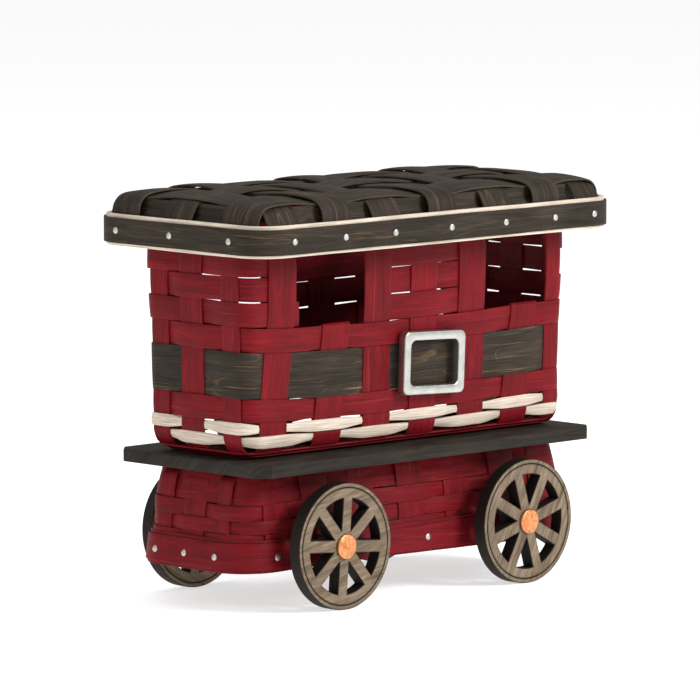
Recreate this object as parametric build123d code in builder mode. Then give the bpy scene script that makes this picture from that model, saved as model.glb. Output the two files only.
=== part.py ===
from build123d import *
import os
from math import atan2, cos, degrees, hypot, radians, sin, tan

os.makedirs("parts", exist_ok=True)

# A lidded basket in the form of a small railway carriage, woven from flat wood splints,
# standing on a board, an upturned basket and four spoked wheels. Millimetres.
# Frame: +X along the carriage, -Y the side with the buckle, +Z up, wheels standing on z = 0.

# --- Splints and how closely they lie -------------------------------------------------
splint = 1.0              # thickness of every woven splint
splint_gap = 0.1          # air between two splints that cross
reach = splint + splint_gap   # how far a weaver runs in or out of the stakes' own plane
run_on = 1.0              # how far a weaver stays straight past a stake's edge
row_gap = 0.3             # air between one weaver row and the next
seat_gap = 0.1            # air between parts that rest on each other

# --- Wheels and axles -----------------------------------------------------------------
wheel_radius = 31.75
wheel_thickness = 7.0
wheel_standoff = 7.1      # from the chassis rim to the wheel's inner face
rim_inner_radius = 24.1
spoke_width = 6.4
spoke_count = 8
spoke_run_in = 0.5        # how far a spoke's ends run into the rim
wheelbase_half = 64.9
axle_radius = 3.175
axle_running_clearance = 0.06
axle_hole_clearance = 0.25
wheel_end_play = 0.3
cap_radius = 6.25
cap_thickness = 1.5
cap_edge_round = 0.6
spacer_radius = 6.0
groove_radius = 29.35     # thin cut line around the wheel's face
groove_width = 0.5
groove_depth = 0.3
wheel_turn = {"left": 85.3, "right": 106.5}   # where the spokes stand at rest, degrees

# --- Platform board -------------------------------------------------------------------
board_end_margin = 4.375      # how far the board stands out past the carriage
board_side_margin = 15.55
board_thickness = 6.35
board_corner = 6.6
board_bottom = 69.4

# --- Chassis basket, open side down ---------------------------------------------------
chassis_inset = 2.0           # how far its weave stands in from the carriage's, at the board
chassis_end_flare = 8.0       # how far its rim stands out past its top, on each end
chassis_side_flare = 7.0
chassis_corner = 8.0
rim_corner = 14.0
rim_hoop_low = 20.2
rim_hoop_height = 15.9
rim_band_low = 21.6
rim_band_height = 12.7
rim_hoop_thickness = 1.2
rim_band_thickness = 1.0
chassis_stake_width = 18.0
chassis_corner_stake_width = 16.0
chassis_stake_shares = (-0.6, -0.31, 0.0, 0.3, 0.6)
chassis_end_corner_stake_width = 9.5
chassis_end_middle_stake_width = 15.0
stake_foot_lift = 0.5         # the stakes stop this far above the rim's lower edge
chassis_bend = 3.0
chassis_row_heights = (11.0, 7.7, 7.3)
chassis_top_margin = 3.9      # from the board down to the first row

# --- Carriage body --------------------------------------------------------------------
car_length = 228.0            # over the weave
car_width = 76.0
car_corner = 4.0
car_bend = 5.5                # bend of the stakes from wall to floor
stake_width = 18.5
corner_stake_width = 10.0
end_corner_stake_width = 12.0
end_middle_stake_width = 16.0
first_row_gap = 0.2           # from the bend of the stakes up to the first row
rim_row_gap = 0.5             # more air than usual below the rim
car_first_stake_share = -0.84
car_stake_shares = (-0.507, -0.205, 0.085, 0.39, 0.672)
car_middle_end_stake = 2.5
base_strip_rise = 1.7         # half the height that the slanting base strip covers
trim_height = 6.1
lower_row_height = 11.2
belt_height = 23.0
sill_height = 11.8
panel_row_height = 12.0
panel_row_gap = 0.5
car_rim_height = 12.5
fold_length = 9.0             # how far a cut stake runs down inside the sill
fold_headroom = 0.35          # the round of the fold stands this much over the sill's edge
fold_slack = 0.02             # keeps the fold's bend just short of a half circle

# --- Buckle ---------------------------------------------------------------------------
buckle_width = 43.0
buckle_height = 32.0
buckle_bar = 4.6
buckle_depth = 5.0
buckle_outer_round = 3.0
buckle_inner_round = 4.0
buckle_edge = 0.5
buckle_tilt = -2.5
buckle_across = 12.0          # centre of the buckle along X
buckle_below = 1.8            # its centre hangs this far below the belt's

# --- Lid ------------------------------------------------------------------------------
lid_end_overhang = 12.95      # how far the lid stands out past the carriage's weave
lid_side_overhang = 24.5
lid_drop = 14.05              # how far the hoop hangs down over the carriage's rim
lid_corner = 18.0
lid_band_thickness = 1.2
lid_band_height = 12.7
lid_band_rise = 1.5           # the hoop shows this much below the band
lid_hoop_thickness = 2.8
lid_hoop_height = 15.9
lid_hoop_edge = 0.8
roof_rise = 11.5              # from the hoop's top to the middle plane of the roof's weave
roof_cross_width = 19.0
roof_long_width = 20.0
roof_wave = 0.6               # half the distance between crossing splints' planes
roof_cross_shares = (-0.585, -0.305, 0.015, 0.33, 0.62)
roof_end_cross_inset = 16.15  # from the hoop's inner face to the middle of the outermost splint
roof_side_long_inset = 16.0
roof_middle_long_at = 2.5
roof_side_drop = 2.1          # the side splints lie this far below the middle one
roof_side_slope = 6.5         # and tilt by this many degrees
roof_bend = 1.5               # bends of the splints where they cross,
roof_long_bend = 1.2
roof_shoulder_bend = 2.5      # and where they turn down into the hoop
shoulder_clearance = 0.4      # from the hoop's top up to where the splints lean in
roof_leg_rise = 2.6           # from the hoop's lower edge up to the ends of the splints
side_leg_lift = 1.0           # the tilted side splints end this much higher
end_leg_inset = 5.2           # the outermost splints come down inside the hoop's round corners
long_leg_inset = 4.8
side_weaver_play = 1.0        # from a side weaver's end to the outermost splint
side_weaver_room = 0.6
end_weaver_half = 51.0 / 58.5     # half length of an end weaver, as a share of the hoop's inside
end_weaver_low = 4.6          # its lower edge above the hoop's, and its upper one below the roof
end_weaver_drop = 5.3
end_weaver_room = 0.15
cleat_inset = 24.4            # from the end stakes' plane to the middle of a cleat
cleat_width = 8.0
cleat_drop = 7.0
cleat_side_play = 1.0
cleat_end_drop = 4.7          # the cleat's ends stay this far below the roof's shoulder

# --- Tacks and screws -----------------------------------------------------------------
tack_head_radius = 1.75
tack_head_height = 0.8
tack_head_taper = 25
tack_shank_radius = 0.6
tack_hole_clearance = 0.05
screw_head_radius = 3.0
screw_head_height = 1.4
screw_head_taper = 20
screw_shank_radius = 1.6
screw_length = 24.0
screw_hole_clearance = 0.15
screw_rows = (-12.8, 13.9)
screw_from_stake = -4.0       # the screws go through the two cut stakes, off their middles
rim_tack_shares = (-0.88, 0.07)
rim_end_tacks = (-20.0, 2.0, 23.0)
lid_tack_from_splint = 2.3    # tacks on the lid's long sides stand beside the splints' middles
lid_end_tacks = (-38.9, 3.7, 42.6)

# --- Axle blocks ----------------------------------------------------------------------
block_length = 30.0
block_side_play = 0.4
block_low = 23.0

# === Sizes worked out from the ones above =============================================
axle_height = wheel_radius
board_length = car_length + 2 * board_end_margin
board_width = car_width + 2 * board_side_margin
board_top = board_bottom + board_thickness
weave_reach = reach + splint / 2
chassis_length_top = car_length - 2 * chassis_inset
chassis_width_top = car_width - 2 * chassis_inset
chassis_length_rim = chassis_length_top + 2 * chassis_end_flare
chassis_width_rim = chassis_width_top + 2 * chassis_side_flare
wheel_outer_face = chassis_width_rim / 2 + wheel_standoff + wheel_thickness

car_half_x = car_length / 2 - weave_reach
car_half_y = car_width / 2 - weave_reach
car_floor = board_top + seat_gap + splint / 2
car_rows_low = car_floor + car_bend + first_row_gap


def rows_from(low, heights, gap):
    """Lower and upper edge of each weaver row, stacked upwards."""
    rows = []
    for height in heights:
        rows.append((low, low + height))
        low += height + gap
    return rows


trim_low, trim_high, lower_row, belt_row, sill_row = rows_from(
    car_rows_low, (trim_height, trim_height, lower_row_height, belt_height, sill_height), row_gap)
panel_rows = rows_from(sill_row[1] + panel_row_gap, (panel_row_height,) * 3, panel_row_gap)
car_rim_low = panel_rows[-1][1] + panel_row_gap + rim_row_gap
car_top = car_rim_low + car_rim_height

# Upright stakes as (place along the wall, width)
car_corner_edge = car_half_x - car_corner - reach
car_end_corner_edge = car_half_y - car_corner - reach
car_side_stakes = [(car_first_stake_share * car_half_x, stake_width)]
car_side_stakes += [(share * car_half_x, stake_width) for share in car_stake_shares]
car_side_stakes += [(car_corner_edge - corner_stake_width / 2, corner_stake_width)]
car_end_stakes = [
    (-(car_end_corner_edge - end_corner_stake_width / 2), end_corner_stake_width),
    (car_middle_end_stake, end_middle_stake_width),
    (car_end_corner_edge - end_corner_stake_width / 2, end_corner_stake_width),
]
cut_stakes = (1, 5)           # the two stakes of each side that end at the window sill
screw_stations = [car_side_stakes[index][0] + screw_from_stake for index in cut_stakes]

# Chassis walls lean outwards as they go down
chassis_half_x_top = chassis_length_top / 2 - weave_reach
chassis_half_y_top = chassis_width_top / 2 - weave_reach
rim_stack = splint / 2 + splint_gap + rim_hoop_thickness + splint_gap + rim_band_thickness
chassis_drop = board_bottom - rim_hoop_low
lean_x = (chassis_length_rim / 2 - rim_stack - chassis_half_x_top) / chassis_drop
lean_y = (chassis_width_rim / 2 - rim_stack - chassis_half_y_top) / chassis_drop
chassis_corner_edge = chassis_half_x_top - chassis_corner - reach
chassis_side_stakes = [(-(chassis_corner_edge - chassis_corner_stake_width / 2),
                        chassis_corner_stake_width)]
chassis_side_stakes += [(share * chassis_half_x_top, chassis_stake_width)
                        for share in chassis_stake_shares]
chassis_side_stakes += [(chassis_corner_edge - chassis_corner_stake_width / 2,
                         chassis_corner_stake_width)]
chassis_end_edge = chassis_half_y_top - chassis_corner - reach
chassis_end_stakes = [
    (-(chassis_end_edge - chassis_end_corner_stake_width / 2), chassis_end_corner_stake_width),
    (0.0, chassis_end_middle_stake_width),
    (chassis_end_edge - chassis_end_corner_stake_width / 2, chassis_end_corner_stake_width),
]
chassis_floor = board_bottom - seat_gap - splint / 2


def chassis_half(z):
    """Half length and half width of the chassis stakes' plane at height z."""
    down = board_bottom - z
    return chassis_half_x_top + lean_x * down, chassis_half_y_top + lean_y * down


lid_length = car_length + 2 * lid_end_overhang
lid_width = car_width + 2 * lid_side_overhang
lid_hoop_low = car_top - lid_drop
lid_band_low = lid_hoop_low + lid_band_rise
lid_hoop_top = lid_hoop_low + lid_hoop_height
roof_height = lid_hoop_top + roof_rise
shoulder_height = lid_hoop_top + shoulder_clearance
roof_leg_low = lid_hoop_low + roof_leg_rise
lid_hoop_half_x = lid_length / 2 - lid_band_thickness
lid_hoop_half_y = lid_width / 2 - lid_band_thickness
lid_inside_x = lid_hoop_half_x - lid_hoop_thickness
lid_inside_y = lid_hoop_half_y - lid_hoop_thickness
leg_x = lid_inside_x - splint_gap - splint / 2
leg_y = lid_inside_y - splint_gap - splint / 2
roof_end_cross_at = lid_inside_x - roof_end_cross_inset
roof_side_long_at = lid_inside_y - roof_side_long_inset


# === Shapes that repeat ===============================================================
def side_line(stakes, half, over_even, shift):
    """(along, out) points of one wall of a weaver, in turn outside and inside the stakes."""
    points = []
    for index, (place, width) in enumerate(stakes):
        over = (index % 2 == 0) == over_even
        out = half + (reach if over else -reach) + shift
        if index > 0:
            points.append((place - width / 2 - run_on, out))
        if index < len(stakes) - 1:
            points.append((place + width / 2 + run_on, out))
    return points


def loop_points(half, side_stakes, end_stakes, over_even, shift):
    """Corner points of a weaver that goes all round a basket."""
    side = side_line(side_stakes, half[1], over_even, shift)
    end = side_line(end_stakes, half[0], not over_even, shift)
    front = [(x, -out) for x, out in side]
    right = [(out, y) for y, out in end]
    back = [(x, out) for x, out in reversed(side)]
    left = [(-out, y) for y, out in reversed(end)]
    x_left, x_right = -end[0][1], end[-1][1]
    y_front, y_back = -side[0][1], side[-1][1]
    return ([(x_left, y_front)] + front + [(x_right, y_front)] + right
            + [(x_right, y_back)] + back + [(x_left, y_back)] + left)


def corner_vertices(half):
    """The vertices of the present sketch that stand in the corners of a basket."""
    near = 2 * weave_reach
    return vertices().filter_by(
        lambda v: abs(v.X) > half[0] - near and abs(v.Y) > half[1] - near)


def rounded_loop(points, half, corner):
    """A closed outline with its four outermost corners rounded."""
    Polygon(*points, align=None)
    fillet(corner_vertices(half), corner)


def weaver_loop(low_half, high_half, row, stakes, corner, over_even):
    """One weaver row right round a basket whose walls may lean."""
    with BuildPart() as weaver:
        for shift, mode in ((splint / 2, Mode.ADD), (-splint / 2, Mode.SUBTRACT)):
            for z, half in zip(row, (low_half, high_half)):
                with BuildSketch(Plane.XY.offset(z)):
                    rounded_loop(loop_points(half, *stakes, over_even, shift), half, corner + shift)
            loft(ruled=True, mode=mode)
    return weaver.part


def hoop(low_half, high_half, row, corner, thickness):
    """A plain band round a basket; the halves are those of its inner face."""
    with BuildPart() as band:
        for grow, mode in ((thickness, Mode.ADD), (0, Mode.SUBTRACT)):
            for z, half in zip(row, (low_half, high_half)):
                with BuildSketch(Plane.XY.offset(z)):
                    RectangleRounded(2 * (half[0] + grow), 2 * (half[1] + grow), corner + grow)
            loft(ruled=True, mode=mode)
    return band.part


def bent_section(section_plane, points, bends):
    """The long thin section of a splint bent along a path in the section plane."""
    with BuildSketch(section_plane) as section:
        with BuildLine():
            FilletPolyline(*points, radius=bends)
        trace(line_width=splint)
    return section.sketch


def bent_splint(section_plane, points, bends, width):
    """Add a bent splint to the present part, its width square to the section plane."""
    extrude(bent_section(section_plane, points, bends), amount=width / 2, both=True)


def plus(half, amount):
    return half[0] + amount, half[1] + amount


# === Wheels ===========================================================================
wheel_middle = wheel_outer_face - wheel_thickness / 2


def wheel(x, side, spoke_turn):
    """A laser-cut wheel: rim, spokes that meet at the middle, and a bore for the axle."""
    face = Plane(origin=(x, side * wheel_outer_face, axle_height), x_dir=(1, 0, 0),
                 z_dir=(0, side, 0))
    turn = spoke_turn if side < 0 else -spoke_turn
    with BuildPart() as disc:
        with BuildSketch(face):
            Circle(wheel_radius)
            Circle(rim_inner_radius, mode=Mode.SUBTRACT)
            with PolarLocations(0, spoke_count // 2, start_angle=turn, angular_range=180):
                Rectangle(2 * (rim_inner_radius + spoke_run_in), spoke_width)
            Circle(axle_radius + axle_running_clearance, mode=Mode.SUBTRACT)
        extrude(amount=-wheel_thickness)
        with BuildSketch(face):
            Circle(groove_radius + groove_width / 2)
            Circle(groove_radius - groove_width / 2, mode=Mode.SUBTRACT)
        extrude(amount=-groove_depth, mode=Mode.SUBTRACT)
    return disc.part


for end_name, x in (("left", -wheelbase_half), ("right", wheelbase_half)):
    for side_name, side in (("front", -1), ("back", 1)):
        part = wheel(x, side, wheel_turn[end_name])
        part.label = f"wheel_{side_name}_{end_name}"
        export_step(part, f"parts/{part.label}.step")

axle_end = wheel_outer_face + wheel_end_play
for end_name, x in (("left", -wheelbase_half), ("right", wheelbase_half)):
    with BuildPart() as axle:
        with BuildSketch(Plane(origin=(x, 0, axle_height), z_dir=(0, 1, 0))):
            Circle(axle_radius)
        extrude(amount=axle_end, both=True)
    axle.part.label = f"axle_{end_name}"
    export_step(axle.part, f"parts/{axle.part.label}.step")

with BuildPart() as hub_caps:
    for x in (-wheelbase_half, wheelbase_half):
        for side in (-1, 1):
            with BuildSketch(Plane(origin=(x, side * axle_end, axle_height), z_dir=(0, side, 0))):
                Circle(cap_radius)
            extrude(amount=cap_thickness)
    for side in (-1, 1):
        outer_edges = edges().filter_by(GeomType.CIRCLE).filter_by(
            lambda e: e.center().Y * side > axle_end + cap_thickness / 2)
        fillet(outer_edges, cap_edge_round)
hub_caps.part.label = "hub_caps"
export_step(hub_caps.part, "parts/hub_caps.step")

# Spacers keep each wheel off the chassis rim, which leans out below the axle
rim_face_y = chassis_half(axle_height - spacer_radius)[1] + rim_stack
spacer_inner = rim_face_y + seat_gap
spacer_outer = wheel_outer_face - wheel_thickness - wheel_end_play
with BuildPart() as spacers:
    for x in (-wheelbase_half, wheelbase_half):
        for side in (-1, 1):
            with BuildSketch(Plane(origin=(x, side * spacer_inner, axle_height), z_dir=(0, side, 0))):
                Circle(spacer_radius)
                Circle(axle_radius + splint_gap, mode=Mode.SUBTRACT)
            extrude(amount=spacer_outer - spacer_inner)
spacers.part.label = "axle_spacers"
export_step(spacers.part, "parts/axle_spacers.step")


def cut_axle_holes():
    """Clear both axles through whatever stands in the present part."""
    for x in (-wheelbase_half, wheelbase_half):
        with Locations(Location((x, 0, axle_height), (90, 0, 0))):
            Cylinder(axle_radius + axle_hole_clearance, 2 * axle_end, mode=Mode.SUBTRACT)


def cut_screw_holes(clearance):
    """Clear the four screws that tie the carriage, board and axle blocks together."""
    for x in screw_stations:
        for y in screw_rows:
            with Locations((x, y, board_top)):
                Cylinder(screw_shank_radius + clearance, 2 * screw_length, mode=Mode.SUBTRACT)


# === Chassis basket ===================================================================
rim_half = chassis_half(rim_hoop_low)
leg_foot = rim_hoop_low + stake_foot_lift
foot_half = chassis_half(leg_foot)
floor_half = chassis_half(chassis_floor)
with BuildPart() as chassis_cross_stakes:
    path = [(-foot_half[1], leg_foot), (-floor_half[1], chassis_floor),
            (floor_half[1], chassis_floor), (foot_half[1], leg_foot)]
    for place, width in chassis_side_stakes:
        bent_splint(Plane.YZ.offset(place), path, chassis_bend, width)
    cut_axle_holes()
    cut_screw_holes(screw_hole_clearance)
chassis_cross_stakes.part.label = "chassis_cross_stakes"
export_step(chassis_cross_stakes.part, "parts/chassis_cross_stakes.step")

long_floor = chassis_floor - reach
long_floor_half = chassis_half(long_floor)
with BuildPart() as chassis_long_stakes:
    path = [(-foot_half[0], leg_foot), (-long_floor_half[0], long_floor),
            (long_floor_half[0], long_floor), (foot_half[0], leg_foot)]
    for place, width in chassis_end_stakes:
        bent_splint(Plane.XZ.offset(-place), path, chassis_bend, width)
chassis_long_stakes.part.label = "chassis_long_stakes"
export_step(chassis_long_stakes.part, "parts/chassis_long_stakes.step")

chassis_stakes = (chassis_side_stakes, chassis_end_stakes)
row_top = board_bottom - chassis_top_margin
for number, height in enumerate(chassis_row_heights, start=1):
    row = (row_top - height, row_top)
    over_even = number % 2 == 1
    part = weaver_loop(chassis_half(row[0]), chassis_half(row[1]), row, chassis_stakes,
                       chassis_corner, over_even)
    part.label = f"chassis_weaver_{number}"
    export_step(part, f"parts/{part.label}.step")
    row_top -= height + row_gap

# The fourth weaver fills what is left above the rim hoop
last_row = (rim_hoop_low + rim_hoop_height + row_gap, row_top)
part = weaver_loop(chassis_half(last_row[0]), chassis_half(last_row[1]), last_row, chassis_stakes,
                   chassis_corner, False)
part.label = "chassis_weaver_4"
export_step(part, "parts/chassis_weaver_4.step")


def leaning_hoop(low, height, offset, corner, thickness):
    """A rim band that follows the leaning chassis walls at a distance from the stakes' plane."""
    row = (low, low + height)
    return hoop(plus(chassis_half(row[0]), offset), plus(chassis_half(row[1]), offset), row, corner,
                thickness)


def rim_tack_planes(offset):
    """Planes on the leaning rim for its tacks: on the long sides and on the ends."""
    z = rim_band_low + rim_band_height / 2
    half_x, half_y = plus(chassis_half(z), offset)
    planes = []
    for side in (-1, 1):
        for place in [share * chassis_half_x_top for share in rim_tack_shares]:
            planes.append(Plane(origin=(place, side * half_y, z), z_dir=(0, side, lean_y)))
        for place in rim_end_tacks:
            planes.append(Plane(origin=(side * half_x, place, z), z_dir=(side, 0, lean_x)))
    return planes


def tacks(planes, length):
    """Round-headed tacks driven square into each plane."""
    with BuildPart() as group:
        for plane in planes:
            with BuildSketch(plane):
                Circle(tack_head_radius)
            extrude(amount=tack_head_height, taper=tack_head_taper)
            with BuildSketch(plane):
                Circle(tack_shank_radius)
            extrude(amount=-length)
    return group.part


def cut_tack_holes(planes, length):
    """Clear the shanks of tacks driven in from these planes."""
    with Locations(*planes):
        Cylinder(tack_shank_radius + tack_hole_clearance, 2 * length, mode=Mode.SUBTRACT)


inside_offset = -(splint / 2 + splint_gap + splint)
hoop_offset = splint / 2 + splint_gap
band_offset = hoop_offset + rim_hoop_thickness + splint_gap
rim_tacks_at = rim_tack_planes(rim_stack)
rim_tack_length = rim_band_thickness + splint_gap + rim_hoop_thickness
hoop_room = rim_tack_length + seat_gap

chassis_rims = {
    "chassis_rim_inner": leaning_hoop(rim_hoop_low, rim_hoop_height, inside_offset, rim_corner, splint),
    "chassis_rim_hoop": leaning_hoop(rim_hoop_low, rim_hoop_height, hoop_offset, rim_corner,
                                     rim_hoop_thickness),
    "chassis_rim_band": leaning_hoop(rim_band_low, rim_band_height, band_offset, rim_corner,
                                     rim_band_thickness),
}
for name, band in chassis_rims.items():
    with BuildPart() as drilled:
        add(band)
        cut_axle_holes()
        if name != "chassis_rim_inner":
            cut_tack_holes(rim_tacks_at, hoop_room)
    drilled.part.label = name
    export_step(drilled.part, f"parts/{name}.step")

chassis_tacks = tacks(rim_tacks_at, rim_tack_length)
chassis_tacks.label = "chassis_rim_tacks"
export_step(chassis_tacks, "parts/chassis_rim_tacks.step")

block_top = long_floor - splint / 2 - seat_gap
block_half_width = chassis_half(block_top)[1] - weave_reach - block_side_play
with BuildPart() as axle_blocks:
    with Locations(*[(x, 0, block_low) for x in (-wheelbase_half, wheelbase_half)]):
        Box(block_length, 2 * block_half_width, block_top - block_low,
            align=(Align.CENTER, Align.CENTER, Align.MIN))
    for x in (-wheelbase_half, wheelbase_half):
        with Locations(Location((x, 0, axle_height), (90, 0, 0))):
            Cylinder(axle_radius + splint_gap, 2 * axle_end, mode=Mode.SUBTRACT)
    cut_screw_holes(tack_hole_clearance)
axle_blocks.part.label = "axle_blocks"
export_step(axle_blocks.part, "parts/axle_blocks.step")

# === Platform board and the screws through it =========================================
with BuildPart() as platform_board:
    with BuildSketch(Plane.XY.offset(board_bottom)):
        Rectangle(board_length, board_width)
        chamfer(vertices(), board_corner)
    extrude(amount=board_thickness)
    cut_screw_holes(screw_hole_clearance)
platform_board.part.label = "platform_board"
export_step(platform_board.part, "parts/platform_board.step")

screw_seat = car_floor + splint / 2
with BuildPart() as body_screws:
    for x in screw_stations:
        for y in screw_rows:
            with BuildSketch(Plane.XY.offset(screw_seat)):
                with Locations((x, y)):
                    Circle(screw_head_radius)
            extrude(amount=screw_head_height, taper=screw_head_taper)
            with BuildSketch(Plane.XY.offset(screw_seat)):
                with Locations((x, y)):
                    Circle(screw_shank_radius)
            extrude(amount=-screw_length)
body_screws.part.label = "body_screws"
export_step(body_screws.part, "parts/body_screws.step")

# === Carriage body ====================================================================
fold_top = sill_row[1] + splint_gap + splint / 2 + fold_headroom
fold_inner = car_half_y - 2 * reach
fold_bend = reach - fold_slack
with BuildPart() as car_cross_stakes:
    for index, (place, width) in enumerate(car_side_stakes):
        wall = [(-car_half_y, car_floor), (car_half_y, car_floor)]
        if index in cut_stakes:
            fold = [(-fold_inner, fold_top - fold_length), (-fold_inner, fold_top),
                    (-car_half_y, fold_top)]
            mirrored = [(-y, z) for y, z in reversed(fold)]
            path = fold + wall + mirrored
            bends = [fold_bend, fold_bend, car_bend, car_bend, fold_bend, fold_bend]
        else:
            path = [(-car_half_y, car_top)] + wall + [(car_half_y, car_top)]
            bends = [car_bend, car_bend]
        bent_splint(Plane.YZ.offset(place), path, bends, width)
    cut_screw_holes(screw_hole_clearance)
car_cross_stakes.part.label = "car_cross_stakes"
export_step(car_cross_stakes.part, "parts/car_cross_stakes.step")

car_long_floor = car_floor + reach
with BuildPart() as car_long_stakes:
    path = [(-car_half_x, car_top), (-car_half_x, car_long_floor),
            (car_half_x, car_long_floor), (car_half_x, car_top)]
    for place, width in car_end_stakes:
        bent_splint(Plane.XZ.offset(-place), path, [car_bend, car_bend], width)
car_long_stakes.part.label = "car_long_stakes"
export_step(car_long_stakes.part, "parts/car_long_stakes.step")

car_half = (car_half_x, car_half_y)
car_stakes = (car_side_stakes, car_end_stakes)
car_rows = {
    "trim_weaver_lower": (trim_low, True),
    "trim_weaver_upper": (trim_high, False),
    "body_weaver": (lower_row, True),
    "belt_weaver": (belt_row, False),
    "sill_weaver": (sill_row, True),
}
for name, (row, over_even) in car_rows.items():
    part = weaver_loop(car_half, car_half, row, car_stakes, car_corner, over_even)
    part.label = name
    export_step(part, f"parts/{name}.step")

# The base strip lies slantwise against the rounded foot of the crosswise stakes
half_turn = radians(45)
foot_inset = car_bend - (car_bend + splint / 2 + splint_gap) * cos(half_turn)
with BuildPart() as base_strip:
    for grow, mode in ((splint / cos(half_turn), Mode.ADD), (0, Mode.SUBTRACT)):
        for rise in (-base_strip_rise, base_strip_rise):
            inner = plus(car_half, rise - foot_inset)
            with BuildSketch(Plane.XY.offset(car_floor + foot_inset + rise)):
                RectangleRounded(2 * (inner[0] + grow), 2 * (inner[1] + grow), car_corner + grow)
        loft(ruled=True, mode=mode)
base_strip.part.label = "base_strip"
export_step(base_strip.part, "parts/base_strip.step")


def end_panel_points(side, over_middle, shift):
    """Path of a short weaver round one end, with its tails inside the corner stakes."""
    corner_place, corner_width = car_side_stakes[0] if side < 0 else car_side_stakes[-1]
    tail = abs(corner_place) - corner_width / 2
    inside = car_half_y - reach + shift
    points = []
    for index, (place, width) in enumerate(car_end_stakes):
        over = (index == 1) == over_middle
        out = side * (car_half_x + (reach if over else -reach) + shift)
        if index > 0:
            points.append((out, place - width / 2 - run_on))
        if index < len(car_end_stakes) - 1:
            points.append((out, place + width / 2 + run_on))
    first, last = points[0][0], points[-1][0]
    return ([(side * tail, -inside), (first, -inside)] + points
            + [(last, inside), (side * tail, inside)])


def centre_panel_points(side, over_middle, shift):
    """Path of a short weaver between the windows, with its tails inside the outer stakes."""
    left, middle, right = car_side_stakes[2:5]
    tail_left = left[0] - left[1] / 2
    tail_right = right[0] + right[1] / 2
    inside = side * (car_half_y - reach + shift)
    out = side * (car_half_y + (reach if over_middle else -reach) + shift)
    before = middle[0] - middle[1] / 2 - run_on
    after = middle[0] + middle[1] / 2 + run_on
    settle = left[0] + left[1] / 2 + run_on
    leave = right[0] - right[1] / 2 - run_on
    return [(tail_left, inside), (settle, inside), (before, out), (after, out), (leave, inside),
            (tail_right, inside)]


def short_weavers(path_points, side, overs, corner):
    """The three short weavers of one panel."""
    with BuildPart() as panel:
        for row, over_middle in zip(panel_rows, overs):
            outer = path_points(side, over_middle, splint / 2)
            inner = path_points(side, over_middle, -splint / 2)
            with BuildSketch(Plane.XY.offset(row[0])):
                Polygon(*outer, *reversed(inner), align=None)
                if corner:
                    fillet(corner_vertices(car_half).sort_by(SortBy.DISTANCE)[:2],
                           corner - splint / 2)
                    fillet(corner_vertices(car_half).sort_by(SortBy.DISTANCE)[-2:],
                           corner + splint / 2)
            extrude(amount=row[1] - row[0])
    return panel.part


panels = {
    "end_panel_left": (end_panel_points, -1, (False, True, False), car_corner),
    "end_panel_right": (end_panel_points, 1, (False, True, False), car_corner),
    "centre_panel_front": (centre_panel_points, -1, (True, False, True), None),
    "centre_panel_back": (centre_panel_points, 1, (True, False, True), None),
}
for name, (path_points, side, overs, corner) in panels.items():
    part = short_weavers(path_points, side, overs, corner)
    part.label = name
    export_step(part, f"parts/{name}.step")


def car_rim_tack_planes():
    """Planes on the outer rim band, between the stakes, for its tacks."""
    z = car_rim_low + car_rim_height / 2
    out = car_half_y + splint / 2 + splint_gap + splint
    planes = []
    for before, after in zip(car_side_stakes, car_side_stakes[1:]):
        place = (before[0] + before[1] / 2 + after[0] - after[1] / 2) / 2
        for side in (-1, 1):
            planes.append(Plane(origin=(place, side * out, z), z_dir=(0, side, 0)))
    return planes


car_rim_row = (car_rim_low, car_top)
car_rim_tacks_at = car_rim_tack_planes()
car_rim_tack_length = 3 * splint + 2 * splint_gap
car_rims = {
    "car_rim_outer": splint / 2 + splint_gap,
    "car_rim_inner": inside_offset,
}
for name, offset in car_rims.items():
    half = plus(car_half, offset)
    with BuildPart() as rim:
        add(hoop(half, half, car_rim_row, car_corner + offset, splint))
        cut_tack_holes(car_rim_tacks_at, car_rim_tack_length + seat_gap)
    rim.part.label = name
    export_step(rim.part, f"parts/{name}.step")
part = tacks(car_rim_tacks_at, car_rim_tack_length)
part.label = "car_rim_tacks"
export_step(part, "parts/car_rim_tacks.step")

# === Buckle on the belt ===============================================================
belt_face = car_width / 2
buckle_z = (belt_row[0] + belt_row[1]) / 2 - buckle_below
tilt = radians(buckle_tilt)
buckle_plane = Plane(origin=(buckle_across, -belt_face, buckle_z), x_dir=(cos(tilt), 0, sin(tilt)),
                     z_dir=(0, -1, 0))
with BuildPart() as belt_buckle:
    with BuildSketch(buckle_plane):
        RectangleRounded(buckle_width, buckle_height, buckle_outer_round)
        RectangleRounded(buckle_width - 2 * buckle_bar, buckle_height - 2 * buckle_bar,
                         buckle_inner_round, mode=Mode.SUBTRACT)
    extrude(amount=buckle_depth)
    front_face = faces().sort_by(Axis.Y)[0]
    fillet(front_face.edges(), buckle_edge)
belt_buckle.part.label = "belt_buckle"
export_step(belt_buckle.part, "parts/belt_buckle.step")

# === Lid ==============================================================================
lid_band_row = (lid_band_low, lid_band_low + lid_band_height)
lid_hoop_row = (lid_hoop_low, lid_hoop_low + lid_hoop_height)


def lid_tack_planes():
    """Planes on the lid's band: one tack for each roof splint's end."""
    z = (lid_band_row[0] + lid_band_row[1]) / 2
    straight = lid_length / 2 - lid_corner - tack_head_radius
    places = [max(-straight, min(straight, place + lid_tack_from_splint))
              for place in roof_cross_places]
    planes = []
    for side in (-1, 1):
        for place in places:
            planes.append(Plane(origin=(place, side * lid_width / 2, z), z_dir=(0, side, 0)))
        for place in lid_end_tacks:
            planes.append(Plane(origin=(side * lid_length / 2, place, z), z_dir=(side, 0, 0)))
    return planes


roof_cross_places = [-roof_end_cross_at]
roof_cross_places += [share * lid_inside_x for share in roof_cross_shares]
roof_cross_places += [roof_end_cross_at]
lid_tacks_at = lid_tack_planes()
lid_tack_length = lid_band_thickness + lid_hoop_thickness / 2

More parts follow.
